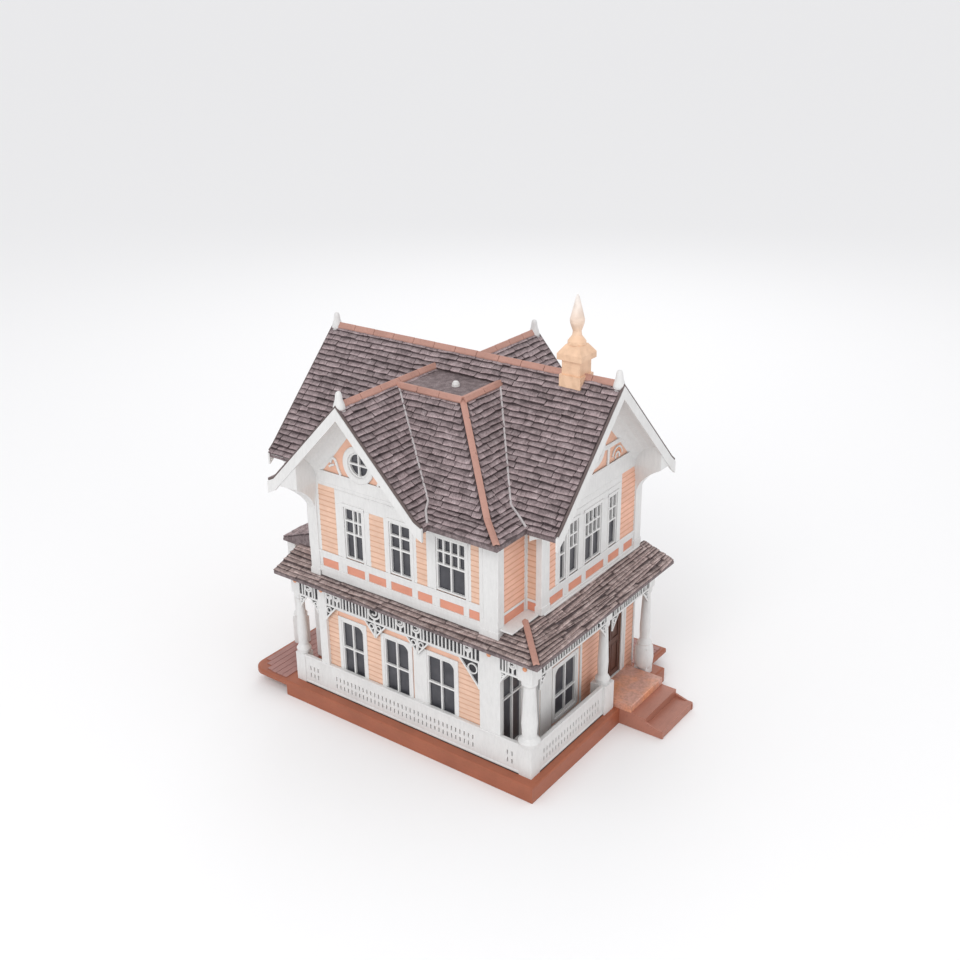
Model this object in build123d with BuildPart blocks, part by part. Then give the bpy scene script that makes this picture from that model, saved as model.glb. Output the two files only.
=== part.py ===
from build123d import *
import os

os.makedirs("parts", exist_ok=True)

# A 1:12 wooden house, in millimetres. The origin is the centre of the plinth's
# underside. The entrance steps face -Y, the long street side faces -X, +Z is up.

# Base
base_width = 444
base_length = 550
plinth_height = 20
deck_thickness = 10
floor_level = plinth_height + deck_thickness
deck_rear = 366
deck_east = 286
deck_east_start = -244
deck_corner_radius = 27
deck_nosing = 3.5

# Entrance steps
steps_west = 55
steps_east = 170
riser = 14.5
step_fronts = (-361, -327, -298)
landing_level = 3 * riser
landing_gap = 0.2

# Walls: outer faces, in plan
wall = 6
ground_west = -195
upper_west = -200
tower_front = -192
notch_west = -120
wing_front = -221
west_end = 201
house_rear = 289
house_east = 192
bay_east = 229
bay_south = -77
bay_north = 187
partition_y = 55

# Levels
ground_top = 275
upper_level = ground_top + wall
attic_underside = 448
attic_level = attic_underside + wall
eave_wall_top = 458
tower_wall_top = 452

# Roofs: outer surfaces. Every roof has a shallow kick above its eave.
roof_drop = 7
eave_height = 450
ridge_x = 31
ridge_height = 641
main_half_span = 188.5
main_kick = (174, 462)
main_front = -275
main_rear = 341
front_gable_y = 82.5
front_gable_height = 615
front_gable_half_span = 167
front_gable_kick = (151, 458)
front_gable_face = -249.5
back_gable_y = 55
back_gable_half_span = 150
back_gable_kick = (135, 459)
back_gable_face = 278.5
tower_eave = (-234.5, -217)
tower_kick = (-198, -173.5, 469)
tower_top = (-99.5, -55.5, 611)
board_thickness = 4
board_depth = 22

# Porch
pent_underside = 255
pent_edge = 260
pent_top = 286
pent_inset = 70
pent_west = -226
pent_front = -285
pent_east = 215
pent_north = 278
rear_porch_edge = 360
trim_west = -202
trim_front = -259
trim_thickness = 5
rail_height = 88
frieze_bottom = 212
frieze_top = pent_underside

# Chimney
chimney_y = -185
chimney_block = 40
chimney_shaft = 34
chimney_cap = 46
chimney_crown = 26
chimney_foot_level = 600
chimney_block_level = 646
chimney_shaft_level = 671
chimney_cap_level = 681
chimney_top_level = 695


def keep(piece, name):
    piece.part.label = name
    export_step(piece.part, f"parts/{name}.step")


def facing(side, at, along, height):
    """A plane on an outer wall face, its normal pointing away from the house."""
    if side == "west":
        return Plane(origin=(at, along, height), x_dir=(0, -1, 0), z_dir=(-1, 0, 0))
    if side == "east":
        return Plane(origin=(at, along, height), x_dir=(0, 1, 0), z_dir=(1, 0, 0))
    if side == "rear":
        return Plane(origin=(along, at, height), x_dir=(-1, 0, 0), z_dir=(0, 1, 0))
    return Plane(origin=(along, at, height), x_dir=(1, 0, 0), z_dir=(0, -1, 0))


def block(low, high, mode=Mode.ADD):
    """A rectangular block between two corners."""
    size = [high[i] - low[i] for i in range(3)]
    middle = [(high[i] + low[i]) / 2 for i in range(3)]
    with Locations(tuple(middle)):
        Box(*size, mode=mode)


def prism_x(outline, start, end, mode=Mode.ADD):
    """A (Y, Z) outline carried along X."""
    with BuildSketch(Plane.YZ.offset(start)) as section:
        with BuildLine():
            Polyline(*outline, close=True)
        make_face()
    extrude(section.sketch, amount=end - start, mode=mode)


def prism_y(outline, start, end, mode=Mode.ADD):
    """An (X, Z) outline carried along Y."""
    with BuildSketch(Plane.XZ.offset(-end)) as section:
        with BuildLine():
            Polyline(*outline, close=True)
        make_face()
    extrude(section.sketch, amount=end - start, mode=mode)


def prism_z(outline, start, end, mode=Mode.ADD):
    """An (X, Y) outline carried along Z."""
    with BuildSketch(Plane.XY.offset(start)) as section:
        with BuildLine():
            Polyline(*outline, close=True)
        make_face()
    extrude(section.sketch, amount=end - start, mode=mode)


def gable_profile(middle, height, half_span, kick, drop=0):
    """The outer line of a gable roof, from one eave over the ridge to the other."""
    reach, kick_height = kick
    return [
        (middle - half_span, eave_height - drop),
        (middle - reach, kick_height - drop),
        (middle, height - drop),
        (middle + reach, kick_height - drop),
        (middle + half_span, eave_height - drop),
    ]


main_profile = (ridge_x, ridge_height, main_half_span, main_kick)
front_profile = (front_gable_y, front_gable_height, front_gable_half_span, front_gable_kick)
back_profile = (back_gable_y, front_gable_height, back_gable_half_span, back_gable_kick)


def gable_volume(profile, drop):
    """The closed outline under a gable roof's outer or inner surface."""
    line = gable_profile(*profile, drop)
    base = eave_height - 2 * roof_drop
    return line + [(line[-1][0], base), (line[0][0], base)]


def gable_sheet(profile):
    """The outline of the roof sheet itself."""
    return gable_profile(*profile) + gable_profile(*profile, roof_drop)[::-1]


def tower_volume(drop, mode=Mode.ADD):
    """The hipped tower under its outer or inner surface, run back into the roofs."""
    back = (ridge_x, front_gable_y)
    rings = [
        (tower_eave[0], tower_eave[1], eave_height - 2 * roof_drop),
        (tower_eave[0], tower_eave[1], eave_height - drop),
        (tower_kick[0], tower_kick[1], tower_kick[2] - drop),
        (tower_top[0], tower_top[1], tower_top[2] - drop),
    ]
    sections = []
    for x, y, z in rings:
        with BuildSketch(Plane.XY.offset(z)) as ring:
            with Locations(((x + back[0]) / 2, (y + back[1]) / 2)):
                Rectangle(back[0] - x, back[1] - y)
        sections.append(ring.sketch)
    for low, high in zip(sections, sections[1:]):
        loft([low, high], ruled=True, mode=mode)


# Every window: the glazed size and its place on the wall. The rows run from the sill up,
# as shares of the height, and each row lists its upright bars as shares of the width.
window_bar = 3
window_proud = 1
sash_depth = 4
pane_thickness = 2
sash_play = 0.3
pane_play = 0.4
wall_clearance = 3 * wall


def window(side, at, centre, width, bottom, height, rows=(0.5, 0.5), bars=((0.5,), (0.5,))):
    return {
        "side": side,
        "at": at,
        "centre": centre,
        "width": width,
        "bottom": bottom,
        "height": height,
        "rows": rows,
        "bars": bars,
    }


sill_ground = 82
height_ground = 107
sill_upper = 322
height_upper = 96
tall_rows = (0.52, 0.24, 0.24)
quarters = (0.25, 0.5, 0.75)
fine_bars = ((0.5,), quarters, quarters)
mixed_bars = ((0.5,), (0.5, 0.75), (0.5, 0.75))
even_bars = ((0.5,), (0.5,), (0.5,))
small_bars = ((), (0.5,), (0.5,))
clear_bars = ((), (), ())
windows = {
    "window_ground_west_1": window("west", ground_west, -73, 60, sill_ground, height_ground),
    "window_ground_west_2": window("west", ground_west, 23, 56, sill_ground, height_ground),
    "window_ground_west_3": window("west", ground_west, 123, 52, sill_ground, height_ground),
    "window_ground_tower": window(
        "front", tower_front, -160, 56, 46, 142, rows=(0.72, 0.28)
    ),
    "window_ground_front": window("front", wing_front, -44, 68, 62, 98, rows=(0.4, 0.6)),
    "window_upper_west_1": window(
        "west", upper_west, -103, 60, sill_upper, height_upper, tall_rows, fine_bars
    ),
    "window_upper_west_2": window(
        "west", upper_west, 1, 46, sill_upper, height_upper, tall_rows, even_bars
    ),
    "window_upper_west_3": window(
        "west", upper_west, 102, 41, sill_upper, height_upper, tall_rows, mixed_bars
    ),
}
upper_front_windows = [
    window("front", wing_front, -60, 19, sill_upper, height_upper, tall_rows, clear_bars),
    window("front", wing_front, -26.5, 27, sill_upper, height_upper, tall_rows, small_bars),
    window("front", wing_front, 34, 52, sill_upper, height_upper, tall_rows, fine_bars),
    window("front", wing_front, 98.5, 27, sill_upper, height_upper, tall_rows, small_bars),
]
side_windows = [
    window("rear", house_rear, 36, 52, sill_ground, height_ground),
    window("rear", house_rear, 36, 52, sill_upper, height_upper),
    window("east", house_east, -149, 52, sill_ground, height_ground),
    window("east", house_east, -149, 52, sill_upper, height_upper),
]
every_window = list(windows.values()) + upper_front_windows + side_windows


def cut_windows(side, at):
    """Cuts every window opening that lies on one wall face."""
    for item in every_window:
        if item["side"] == side and item["at"] == at:
            middle = item["bottom"] + item["height"] / 2
            with BuildSketch(facing(side, at, item["centre"], middle)) as opening:
                Rectangle(item["width"], item["height"])
            extrude(opening.sketch, amount=-wall_clearance, mode=Mode.SUBTRACT)


def add_sash(item):
    """A window's white frame with its glazing bars."""
    width = item["width"] - sash_play
    height = item["height"] - sash_play
    middle = item["bottom"] + item["height"] / 2
    face = facing(item["side"], item["at"], item["centre"], middle).offset(window_proud)
    clear = height - (len(item["rows"]) + 1) * window_bar
    with BuildSketch(face) as frame:
        Rectangle(width, height)
        low = -height / 2 + window_bar
        for share, splits in zip(item["rows"], item["bars"]):
            tall = clear * share
            inside = [width * (split - 0.5) for split in splits]
            bars = [(window_bar - width) / 2, *inside, (width - window_bar) / 2]
            for left, right in zip(bars, bars[1:]):
                with Locations(((left + right) / 2, low + tall / 2)):
                    Rectangle(right - left - window_bar, tall, mode=Mode.SUBTRACT)
            low += tall + window_bar
    extrude(frame.sketch, amount=-sash_depth)


def add_pane(item):
    """The dark sheet behind a window's bars."""
    middle = item["bottom"] + item["height"] / 2
    face = facing(item["side"], item["at"], item["centre"], middle)
    with BuildSketch(face.offset(window_proud - sash_depth)) as sheet:
        Rectangle(item["width"] - pane_play, item["height"] - pane_play)
    extrude(sheet.sketch, amount=-pane_thickness)


# Round attic windows in the street and entrance gables
round_radius = 24
round_ring = 5
round_heights = {"west": 501, "front": 520}
round_windows_at = (
    facing("west", upper_west, front_gable_y + 1, round_heights["west"]),
    facing("front", wing_front, ridge_x, round_heights["front"]),
)


# ---- Base ----

with BuildPart() as plinth:
    block((-base_width / 2, -base_length / 2, 0), (base_width / 2, base_length / 2, plinth_height))
keep(plinth, "plinth")

deck_outline = [
    (-base_width / 2, -base_length / 2),
    (base_width / 2, -base_length / 2),
    (base_width / 2, deck_east_start),
    (deck_east, deck_east_start),
    (deck_east, deck_rear),
    (-base_width / 2, deck_rear),
]
with BuildPart() as deck_slab:
    prism_z(deck_outline, plinth_height, floor_level)
    corners = deck_slab.edges().filter_by(Axis.Z).group_by(Axis.Y)[-1]
    fillet(corners, deck_corner_radius)
    fillet(deck_slab.faces().sort_by(Axis.Z)[-1].outer_wire().edges(), deck_nosing)
keep(deck_slab, "deck_slab")

# The steps stand on the ground in front of the plinth, between two sloping cheeks.
cheek = 4
cheek_proud = 1
cheek_toe = riser - 3
landing_nosing = 2
step_outline = [
    (-base_length / 2, 0),
    (step_fronts[0], 0),
    (step_fronts[0], riser),
    (step_fronts[1], riser),
    (step_fronts[1], 2 * riser),
    (step_fronts[2], 2 * riser),
    (step_fronts[2], floor_level),
    (-base_length / 2, floor_level),
]
cheek_outline = [
    (-base_length / 2, 0),
    (step_fronts[0] - cheek_proud, 0),
    (step_fronts[0] - cheek_proud, cheek_toe),
    (step_fronts[2], floor_level),
    (-base_length / 2, floor_level),
]
with BuildPart() as front_steps:
    prism_x(step_outline, steps_west, steps_east)
    for start in (steps_west, steps_east - cheek):
        prism_x(cheek_outline, start, start + cheek)
keep(front_steps, "front_steps")

with BuildPart() as porch_landing:
    block(
        (steps_west, step_fronts[2], floor_level),
        (steps_east, wing_front - landing_gap, landing_level),
    )
    fillet(porch_landing.faces().sort_by(Axis.Y)[0].edges().sort_by(Axis.Z)[-1], landing_nosing)
keep(porch_landing, "porch_landing")

# ---- Ground floor walls ----

door_width = 66
door_height = 170
door_centre = 113
door_bottom = landing_level + 0.5
door_west = door_centre - door_width / 2
door_east = door_centre + door_width / 2
door_top = door_bottom + door_height

with BuildPart() as ground_wall_west:
    block((ground_west, tower_front, floor_level), (ground_west + wall, west_end, ground_top))
    cut_windows("west", ground_west)
keep(ground_wall_west, "ground_wall_west")

with BuildPart() as ground_wall_tower:
    block(
        (ground_west + wall, tower_front, floor_level),
        (notch_west + wall, tower_front + wall, ground_top),
    )
    block(
        (notch_west, wing_front, floor_level),
        (notch_west + wall, tower_front + wall, ground_top),
    )
    cut_windows("front", tower_front)
keep(ground_wall_tower, "ground_wall_tower")

with BuildPart() as ground_wall_front:
    block(
        (notch_west + wall, wing_front, floor_level),
        (house_east - wall, wing_front + wall, ground_top),
    )
    block(
        (door_west, wing_front - 1, floor_level - 1),
        (door_east, wing_front + wall + 1, door_top),
        Mode.SUBTRACT,
    )
    cut_windows("front", wing_front)
keep(ground_wall_front, "ground_wall_front")

# ---- First floor walls, each gable wall in one board ----

roof_gap = 0.6


def gable_wall(profile, start, end, shoulders):
    """A wall outline that follows the underside of its gable roof."""
    middle, height, half_span, kick = profile
    slope = (height - kick[1]) / kick[0]

    def under(place):
        return height - roof_drop - roof_gap - abs(place - middle) * slope

    line = []
    if shoulders:
        reach = (under(middle) - tower_wall_top) / slope
        line = [(start, tower_wall_top), (middle - reach, tower_wall_top)]
    else:
        line = [(start, under(start))]
    return line + [(middle, under(middle)), (end, under(end))]


with BuildPart() as upper_wall_west:
    outline = gable_wall(front_profile, tower_front, west_end, True)
    prism_x(
        [(west_end, upper_level), (tower_front, upper_level)] + outline,
        upper_west,
        upper_west + wall,
    )
    cut_windows("west", upper_west)
    with BuildSketch(round_windows_at[0]):
        Circle(round_radius)
    extrude(amount=-wall_clearance, mode=Mode.SUBTRACT)
keep(upper_wall_west, "upper_wall_west")

with BuildPart() as upper_wall_tower:
    block(
        (upper_west + wall, tower_front, upper_level),
        (notch_west + wall, tower_front + wall, tower_wall_top),
    )
    block(
        (notch_west, wing_front, upper_level),
        (notch_west + wall, tower_front + wall, tower_wall_top),
    )
keep(upper_wall_tower, "upper_wall_tower")

wing_outline = gable_wall(main_profile, notch_west + wall, house_east - wall, False)
with BuildPart() as upper_wall_front:
    prism_y(
        [(house_east - wall, upper_level), (notch_west + wall, upper_level)] + wing_outline,
        wing_front,
        wing_front + wall,
    )
    cut_windows("front", wing_front)
    with BuildSketch(round_windows_at[1]):
        Circle(round_radius)
    extrude(amount=-wall_clearance, mode=Mode.SUBTRACT)
keep(upper_wall_front, "upper_wall_front")

with BuildPart() as rear_wall:
    prism_y(
        [(house_east - wall, floor_level), (notch_west + wall, floor_level)] + wing_outline,
        house_rear - wall,
        house_rear,
    )
    cut_windows("rear", house_rear)
keep(rear_wall, "rear_wall")

with BuildPart() as west_return:
    block(
        (upper_west + wall, west_end - wall, upper_level),
        (notch_west + wall, west_end, eave_wall_top),
    )
    block(
        (ground_west + wall, west_end - wall, floor_level),
        (notch_west + wall, west_end, ground_top),
    )
    for low, high in ((floor_level, ground_top), (upper_level, eave_wall_top)):
        block((notch_west, west_end, low), (notch_west + wall, house_rear, high))
keep(west_return, "west_return")

# The back: two closed corners, with an open bay between them.
back_corners = {
    "east_corner_south": (wing_front, bay_south, bay_south),
    "east_corner_north": (bay_north, house_rear, bay_north - wall),
}
for name, (start, end, cheek_start) in back_corners.items():
    with BuildPart() as back_corner:
        block((house_east - wall, start, floor_level), (house_east, end, eave_wall_top))
        block(
            (house_east - wall, cheek_start, floor_level),
            (bay_east, cheek_start + wall, eave_wall_top - 4),
        )
        cut_windows("east", house_east)
    keep(back_corner, name)

# ---- Floors and partitions ----

inside_west = upper_west + wall
floor_outline = [
    (inside_west, tower_front + wall),
    (notch_west + wall, tower_front + wall),
    (notch_west + wall, wing_front + wall),
    (house_east - wall, wing_front + wall),
    (house_east - wall, bay_south + wall),
    (bay_east, bay_south + wall),
    (bay_east, bay_north - wall),
    (house_east - wall, bay_north - wall),
    (house_east - wall, house_rear - wall),
    (notch_west + wall, house_rear - wall),
    (notch_west + wall, west_end - wall),
    (inside_west, west_end - wall),
]
gallery_outline = [
    (upper_west, tower_front),
    (notch_west, tower_front),
    (notch_west, wing_front),
    (house_east - wall, wing_front),
] + floor_outline[4:9] + [
    (notch_west, house_rear - wall),
    (notch_west, west_end),
    (upper_west, west_end),
]
with BuildPart() as upper_floor:
    prism_z(gallery_outline, ground_top, upper_level)
keep(upper_floor, "upper_floor")

with BuildPart() as attic_floor:
    prism_z(floor_outline, attic_underside, attic_level)
keep(attic_floor, "attic_floor")

with BuildPart() as room_partitions:
    block(
        (ground_west + wall, partition_y - wall / 2, floor_level),
        (house_east - wall, partition_y + wall / 2, ground_top),
    )
    block(
        (inside_west, partition_y - wall / 2, upper_level),
        (house_east - wall, partition_y + wall / 2, attic_underside),
    )
keep(room_partitions, "room_partitions")

# ---- Windows ----

for name, item in windows.items():
    with BuildPart() as sash:
        add_sash(item)
    keep(sash, name)

for name, group in (("window_upper_front", upper_front_windows), ("side_windows", side_windows)):
    with BuildPart() as sashes:
        for item in group:
            add_sash(item)
    keep(sashes, name)

with BuildPart() as round_windows:
    for face in round_windows_at:
        with BuildSketch(face.offset(window_proud)):
            Circle(round_radius - sash_play / 2)
            Circle(round_radius - round_ring, mode=Mode.SUBTRACT)
            Rectangle(window_bar, 2 * round_radius - round_ring)
            Rectangle(2 * round_radius - round_ring, window_bar)
        extrude(amount=-sash_depth)
keep(round_windows, "round_windows")

with BuildPart() as window_panes:
    for item in every_window:
        add_pane(item)
    for face in round_windows_at:
        with BuildSketch(face.offset(window_proud - sash_depth)):
            Circle(round_radius - pane_play / 2)
        extrude(amount=-pane_thickness)
keep(window_panes, "window_panes")

# ---- Front door, hung on its east edge, opening inward ----

door_gap = 0.8
door_thickness = 4.5
pin_standoff = 1.4
panel_depth = 1.2
panel_margin = 12
panel_gap = 4
door_panels = ((10, 58), (78, 80))
knob_inset = 6
knob_height = 80
knob_neck = (1, 3)
knob_radius = 2.2
door_casing = 7
casing_proud = 2
casing_lap = 1.5
door_back = wing_front + wall
pin_x = door_east
pin_y = door_back + pin_standoff
pin_radius = 0.5
knuckle_radius = 1.2
pin_clearance = 0.05
hinge_setback = 28
hinge_heights = (door_bottom + hinge_setback, door_top - hinge_setback)
hinge_height = 12
knuckle_gap = 0.15
third = hinge_height / 3
leaf_thickness = 0.6
strap_thickness = 0.8
frame_leaf = (1.3, 7)
frame_strap = (0, 1.5)
door_leaf = (-8, -0.9)
door_strap = (-1.6, 0)
strap_height = 3.6

with BuildPart() as front_door:
    block(
        (door_west + door_gap, door_back - door_thickness, door_bottom + door_gap),
        (door_east - door_gap, door_back, door_top - door_gap),
    )
    panel_width = door_width / 2 - panel_margin
    for face_y, inward in ((door_back - door_thickness, 1), (door_back, -1)):
        side = "front" if inward == 1 else "rear"
        for low, tall in door_panels:
            centre = facing(side, face_y, door_centre, door_bottom + low + tall / 2)
            with BuildSketch(centre):
                with GridLocations(door_width / 2 - panel_gap, 1, 2, 1):
                    Rectangle(panel_width, tall)
            extrude(amount=-panel_depth, mode=Mode.SUBTRACT)
keep(front_door, "front_door")

with BuildPart() as door_frame:
    outer = facing("front", wing_front, door_centre, (door_top + landing_level) / 2)
    tall = door_top - landing_level
    with BuildSketch(outer):
        with Locations((0, door_casing / 2)):
            Rectangle(door_width + 2 * door_casing, tall + door_casing)
        Rectangle(door_width - 2 * casing_lap, tall - casing_lap, mode=Mode.SUBTRACT)
    extrude(amount=casing_proud)
    block(
        (door_west, wing_front, floor_level + landing_gap),
        (door_east, wing_front + wall, door_bottom),
    )
keep(door_frame, "door_frame")



def hinge_plate(span, thickness, low, high):
    """A plate on the door's back face, its span measured from the pin."""
    block((pin_x + span[0], door_back, low), (pin_x + span[1], door_back + thickness, high))


with BuildPart() as hinge_frame_leaves:
    for height in hinge_heights:
        half = hinge_height / 2
        hinge_plate(frame_leaf, leaf_thickness, height - half, height + half)
        for middle in (height - third, height + third):
            with Locations((pin_x, pin_y, middle)):
                Cylinder(knuckle_radius, third - knuckle_gap)
            tall = strap_height / 2
            hinge_plate(frame_strap, strap_thickness, middle - tall, middle + tall)
        with Locations((pin_x, pin_y, height)):
            Cylinder(pin_radius, hinge_height + 1)
keep(hinge_frame_leaves, "hinge_frame_leaves")

with BuildPart() as hinge_door_leaves:
    for height in hinge_heights:
        half = third / 2 - knuckle_gap
        hinge_plate(door_leaf, leaf_thickness, height - half, height + half)
        hinge_plate(door_strap, strap_thickness, height - half, height + half)
        with Locations((pin_x, pin_y, height)):
            Cylinder(knuckle_radius, 2 * half)
            Cylinder(pin_radius + pin_clearance, hinge_height, mode=Mode.SUBTRACT)
keep(hinge_door_leaves, "hinge_door_leaves")

with BuildPart() as door_knob:
    knob_x = door_west + knob_inset
    knob_z = door_bottom + knob_height
    neck_radius, neck_length = knob_neck
    for face_y, out in ((door_back - door_thickness, -1), (door_back, 1)):
        with Locations((knob_x, face_y + out * neck_length / 2, knob_z)):
            Cylinder(neck_radius, neck_length, rotation=(90, 0, 0))
        with Locations((knob_x, face_y + out * (neck_length + 1), knob_z)):
            Sphere(knob_radius)
keep(door_knob, "door_knob")

# ---- Roofs ----

# Cutters run this far beyond the object on every side.
beyond = 400
above_roofs = 700
past_face = 50


def clear_main():
    prism_y(gable_volume(main_profile, 0), main_front - past_face, main_rear + past_face, Mode.SUBTRACT)


def clear_front_gable(drop):
    prism_x(gable_volume(front_profile, drop), front_gable_face - past_face, ridge_x, Mode.SUBTRACT)


def clear_back_gable(drop):
    prism_x(gable_volume(back_profile, drop), ridge_x, back_gable_face + past_face, Mode.SUBTRACT)


with BuildPart() as main_roof_west:
    prism_y(gable_sheet(main_profile), main_front + board_thickness, main_rear - board_thickness)
    block((ridge_x, -beyond, beyond), (beyond, beyond, above_roofs), Mode.SUBTRACT)
    clear_front_gable(roof_drop)
    tower_volume(roof_drop, Mode.SUBTRACT)
keep(main_roof_west, "main_roof_west")

with BuildPart() as main_roof_east:
    prism_y(gable_sheet(main_profile), main_front + board_thickness, main_rear - board_thickness)
    block((-beyond, -beyond, beyond), (ridge_x, beyond, above_roofs), Mode.SUBTRACT)
    clear_back_gable(roof_drop)
keep(main_roof_east, "main_roof_east")

with BuildPart() as front_gable_roof:
    prism_x(gable_sheet(front_profile), front_gable_face + board_thickness, ridge_x)
    clear_main()
    tower_volume(roof_drop, Mode.SUBTRACT)
keep(front_gable_roof, "front_gable_roof")

with BuildPart() as back_gable_roof:
    prism_x(gable_sheet(back_profile), ridge_x, back_gable_face - board_thickness)
    clear_main()
keep(back_gable_roof, "back_gable_roof")

with BuildPart() as tower_roof:
    tower_volume(0)
    tower_volume(roof_drop, Mode.SUBTRACT)
    clear_main()
    clear_front_gable(0)
keep(tower_roof, "tower_roof")

# ---- Bargeboards, ridge caps and finials ----


def rake_boards(profile):
    """The outline of the two boards under a gable's rakes."""
    return gable_profile(*profile) + gable_profile(*profile, board_depth)[::-1]


with BuildPart() as gable_bargeboards:
    prism_y(rake_boards(main_profile), main_front, main_front + board_thickness)
    prism_y(rake_boards(main_profile), main_rear - board_thickness, main_rear)
    prism_x(rake_boards(front_profile), front_gable_face, front_gable_face + board_thickness)
    prism_x(rake_boards(back_profile), back_gable_face - board_thickness, back_gable_face)
keep(gable_bargeboards, "gable_bargeboards")

cap_reach = 9
cap_height = 3
cap_crown = cap_height + 1
hip_gap = 0.2


def cap_outline(middle, height, kick):
    """The outline of an angled tile cap over a ridge."""
    fall = cap_reach * (height - kick[1]) / kick[0]
    return [
        (middle - cap_reach, height - fall),
        (middle, height),
        (middle + cap_reach, height - fall),
        (middle + cap_reach, height - fall + cap_height),
        (middle, height + cap_crown),
        (middle - cap_reach, height - fall + cap_height),
    ]


chimney_half = chimney_block / 2
with BuildPart() as main_ridge_cap:
    prism_y(cap_outline(ridge_x, ridge_height, main_kick), main_front, main_rear)
    block(
        (ridge_x - past_face, chimney_y - chimney_half, beyond),
        (ridge_x + past_face, chimney_y + chimney_half, above_roofs),
        Mode.SUBTRACT,
    )
keep(main_ridge_cap, "main_ridge_cap")

with BuildPart() as gable_ridge_caps:
    prism_x(
        cap_outline(front_gable_y, front_gable_height, front_gable_kick),
        front_gable_face,
        ridge_x,
    )
    prism_x(
        cap_outline(back_gable_y, front_gable_height, back_gable_kick),
        ridge_x,
        back_gable_face,
    )
    clear_main()
    tower_volume(-hip_gap / 2, Mode.SUBTRACT)
keep(gable_ridge_caps, "gable_ridge_caps")

# The tower's hip tiles and the raised tile rim round two edges of its flat top.
rim_width = 8
rim_height = 4
hip_tile = ((-5, -4), (0, 0), (5, -4), (5, -1), (0, 3), (-5, -1))
hip_points = [
    Vector(tower_eave[0], tower_eave[1], eave_height),
    Vector(*tower_kick),
    Vector(*tower_top),
]
with BuildPart() as tower_hip_caps:
    top_x, top_y, top_z = tower_top
    for low, high in zip(hip_points, hip_points[1:]):
        run = high - low
        direction = run.normalized()
        across = Vector(run.Y, -run.X, 0).normalized()
        foot = Plane(origin=low + Vector(0, 0, hip_gap), x_dir=across, z_dir=direction)
        with BuildSketch(foot) as tile:
            with BuildLine():
                Polyline(*hip_tile, close=True)
            make_face()
        extrude(tile.sketch, amount=run.length)
    block((top_x, top_y, top_z), (top_x + rim_width, front_gable_y, top_z + rim_height))
    block((top_x, top_y, top_z), (ridge_x, top_y + rim_width, top_z + rim_height))
    clear_main()
    prism_x(gable_volume(front_profile, -cap_crown - 1), front_gable_face, ridge_x, Mode.SUBTRACT)
    tower_volume(0, Mode.SUBTRACT)
keep(tower_hip_caps, "tower_hip_caps")

finial_height = 32


def turned(profile, x, y, z):
    """A turning about an upright axis, from (radius, height) points."""
    with BuildSketch(Plane(origin=(x, y, z), x_dir=(1, 0, 0), z_dir=(0, -1, 0))) as half:
        with BuildLine():
            Polyline((0, profile[0][1]), *profile, (0, profile[-1][1]), close=True)
        make_face()
    revolve(half.sketch, axis=Axis((x, y, z), (0, 0, 1)))


finial_profile = [
    (6, 0),
    (7.5, 4),
    (7.5, 12),
    (4, 17),
    (5, 21),
    (3.5, 29),
    (1, finial_height),
]
finial_inset = 9
finials_at = (
    (ridge_x, main_front + finial_inset, ridge_height),
    (ridge_x, main_rear - finial_inset, ridge_height),
    (front_gable_face + finial_inset, front_gable_y, front_gable_height),
    (back_gable_face - finial_inset, back_gable_y, front_gable_height),
)
with BuildPart() as gable_finials:
    for x, y, z in finials_at:
        turned(finial_profile, x, y, z + cap_crown)
keep(gable_finials, "gable_finials")

knob_profile = [(7, 0), (6.5, 4), (4, 8), (1, 9)]
knob_at = (-48, -2, tower_top[2])
with BuildPart() as tower_knob:
    turned(knob_profile, *knob_at)
keep(tower_knob, "tower_knob")

# ---- Chimney ----



def chimney_stage(width, low, high):
    """One square stage of the chimney."""
    half = width / 2
    block((ridge_x - half, chimney_y - half, low), (ridge_x + half, chimney_y + half, high))


with BuildPart() as chimney_stack:
    chimney_stage(chimney_block, chimney_foot_level, chimney_block_level)
    clear_main()
    chimney_stage(chimney_shaft, chimney_block_level, chimney_shaft_level)
    chimney_stage(chimney_cap, chimney_shaft_level, chimney_cap_level)
    bevel = []
    for level, width in ((chimney_cap_level, chimney_cap), (chimney_top_level, chimney_crown)):
        with BuildSketch(Plane.XY.offset(level)) as ring:
            with Locations((ridge_x, chimney_y)):
                Rectangle(width, width)
        bevel.append(ring.sketch)
    loft(bevel, ruled=True)
keep(chimney_stack, "chimney_stack")

chimney_profile = [
    (15, 0),
    (15, 5),
    (8, 14),
    (7, 21),
    (11.5, 34),
    (12, 40),
    (8, 56),
    (3, 76),
    (1, 80),
]
with BuildPart() as chimney_finial:
    turned(chimney_profile, ridge_x, chimney_y, chimney_top_level)
keep(chimney_finial, "chimney_finial")

# ---- Porch roofs ----

house_outline = [
    (ground_west, tower_front),
    (notch_west, tower_front),
    (notch_west, wing_front),
    (beyond, wing_front),
    (beyond, beyond),
    (notch_west, beyond),
    (notch_west, west_end),
    (ground_west, west_end),
]


def pent_roof():
    """The porch roof all round: a square edge, then a slope up to the walls."""
    block((pent_west, pent_front, pent_underside), (pent_east, pent_north, pent_edge))
    rings = []
    for height, inset in ((pent_edge, 0), (pent_top, pent_inset)):
        low = (pent_west + inset, pent_front + inset)
        high = (pent_east - inset, pent_north - inset)
        with BuildSketch(Plane.XY.offset(height)) as ring:
            with Locations(((low[0] + high[0]) / 2, (low[1] + high[1]) / 2)):
                Rectangle(high[0] - low[0], high[1] - low[1])
        rings.append(ring.sketch)
    loft(rings, ruled=True)
    prism_z(house_outline, pent_underside - 1, pent_top + 1, Mode.SUBTRACT)
    low_upper_wall = [(upper_west, tower_front), (ground_west + 1, tower_front)]
    low_upper_wall += [(ground_west + 1, west_end), (upper_west, west_end)]
    prism_z(low_upper_wall, ground_top, pent_top + 1, Mode.SUBTRACT)


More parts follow.
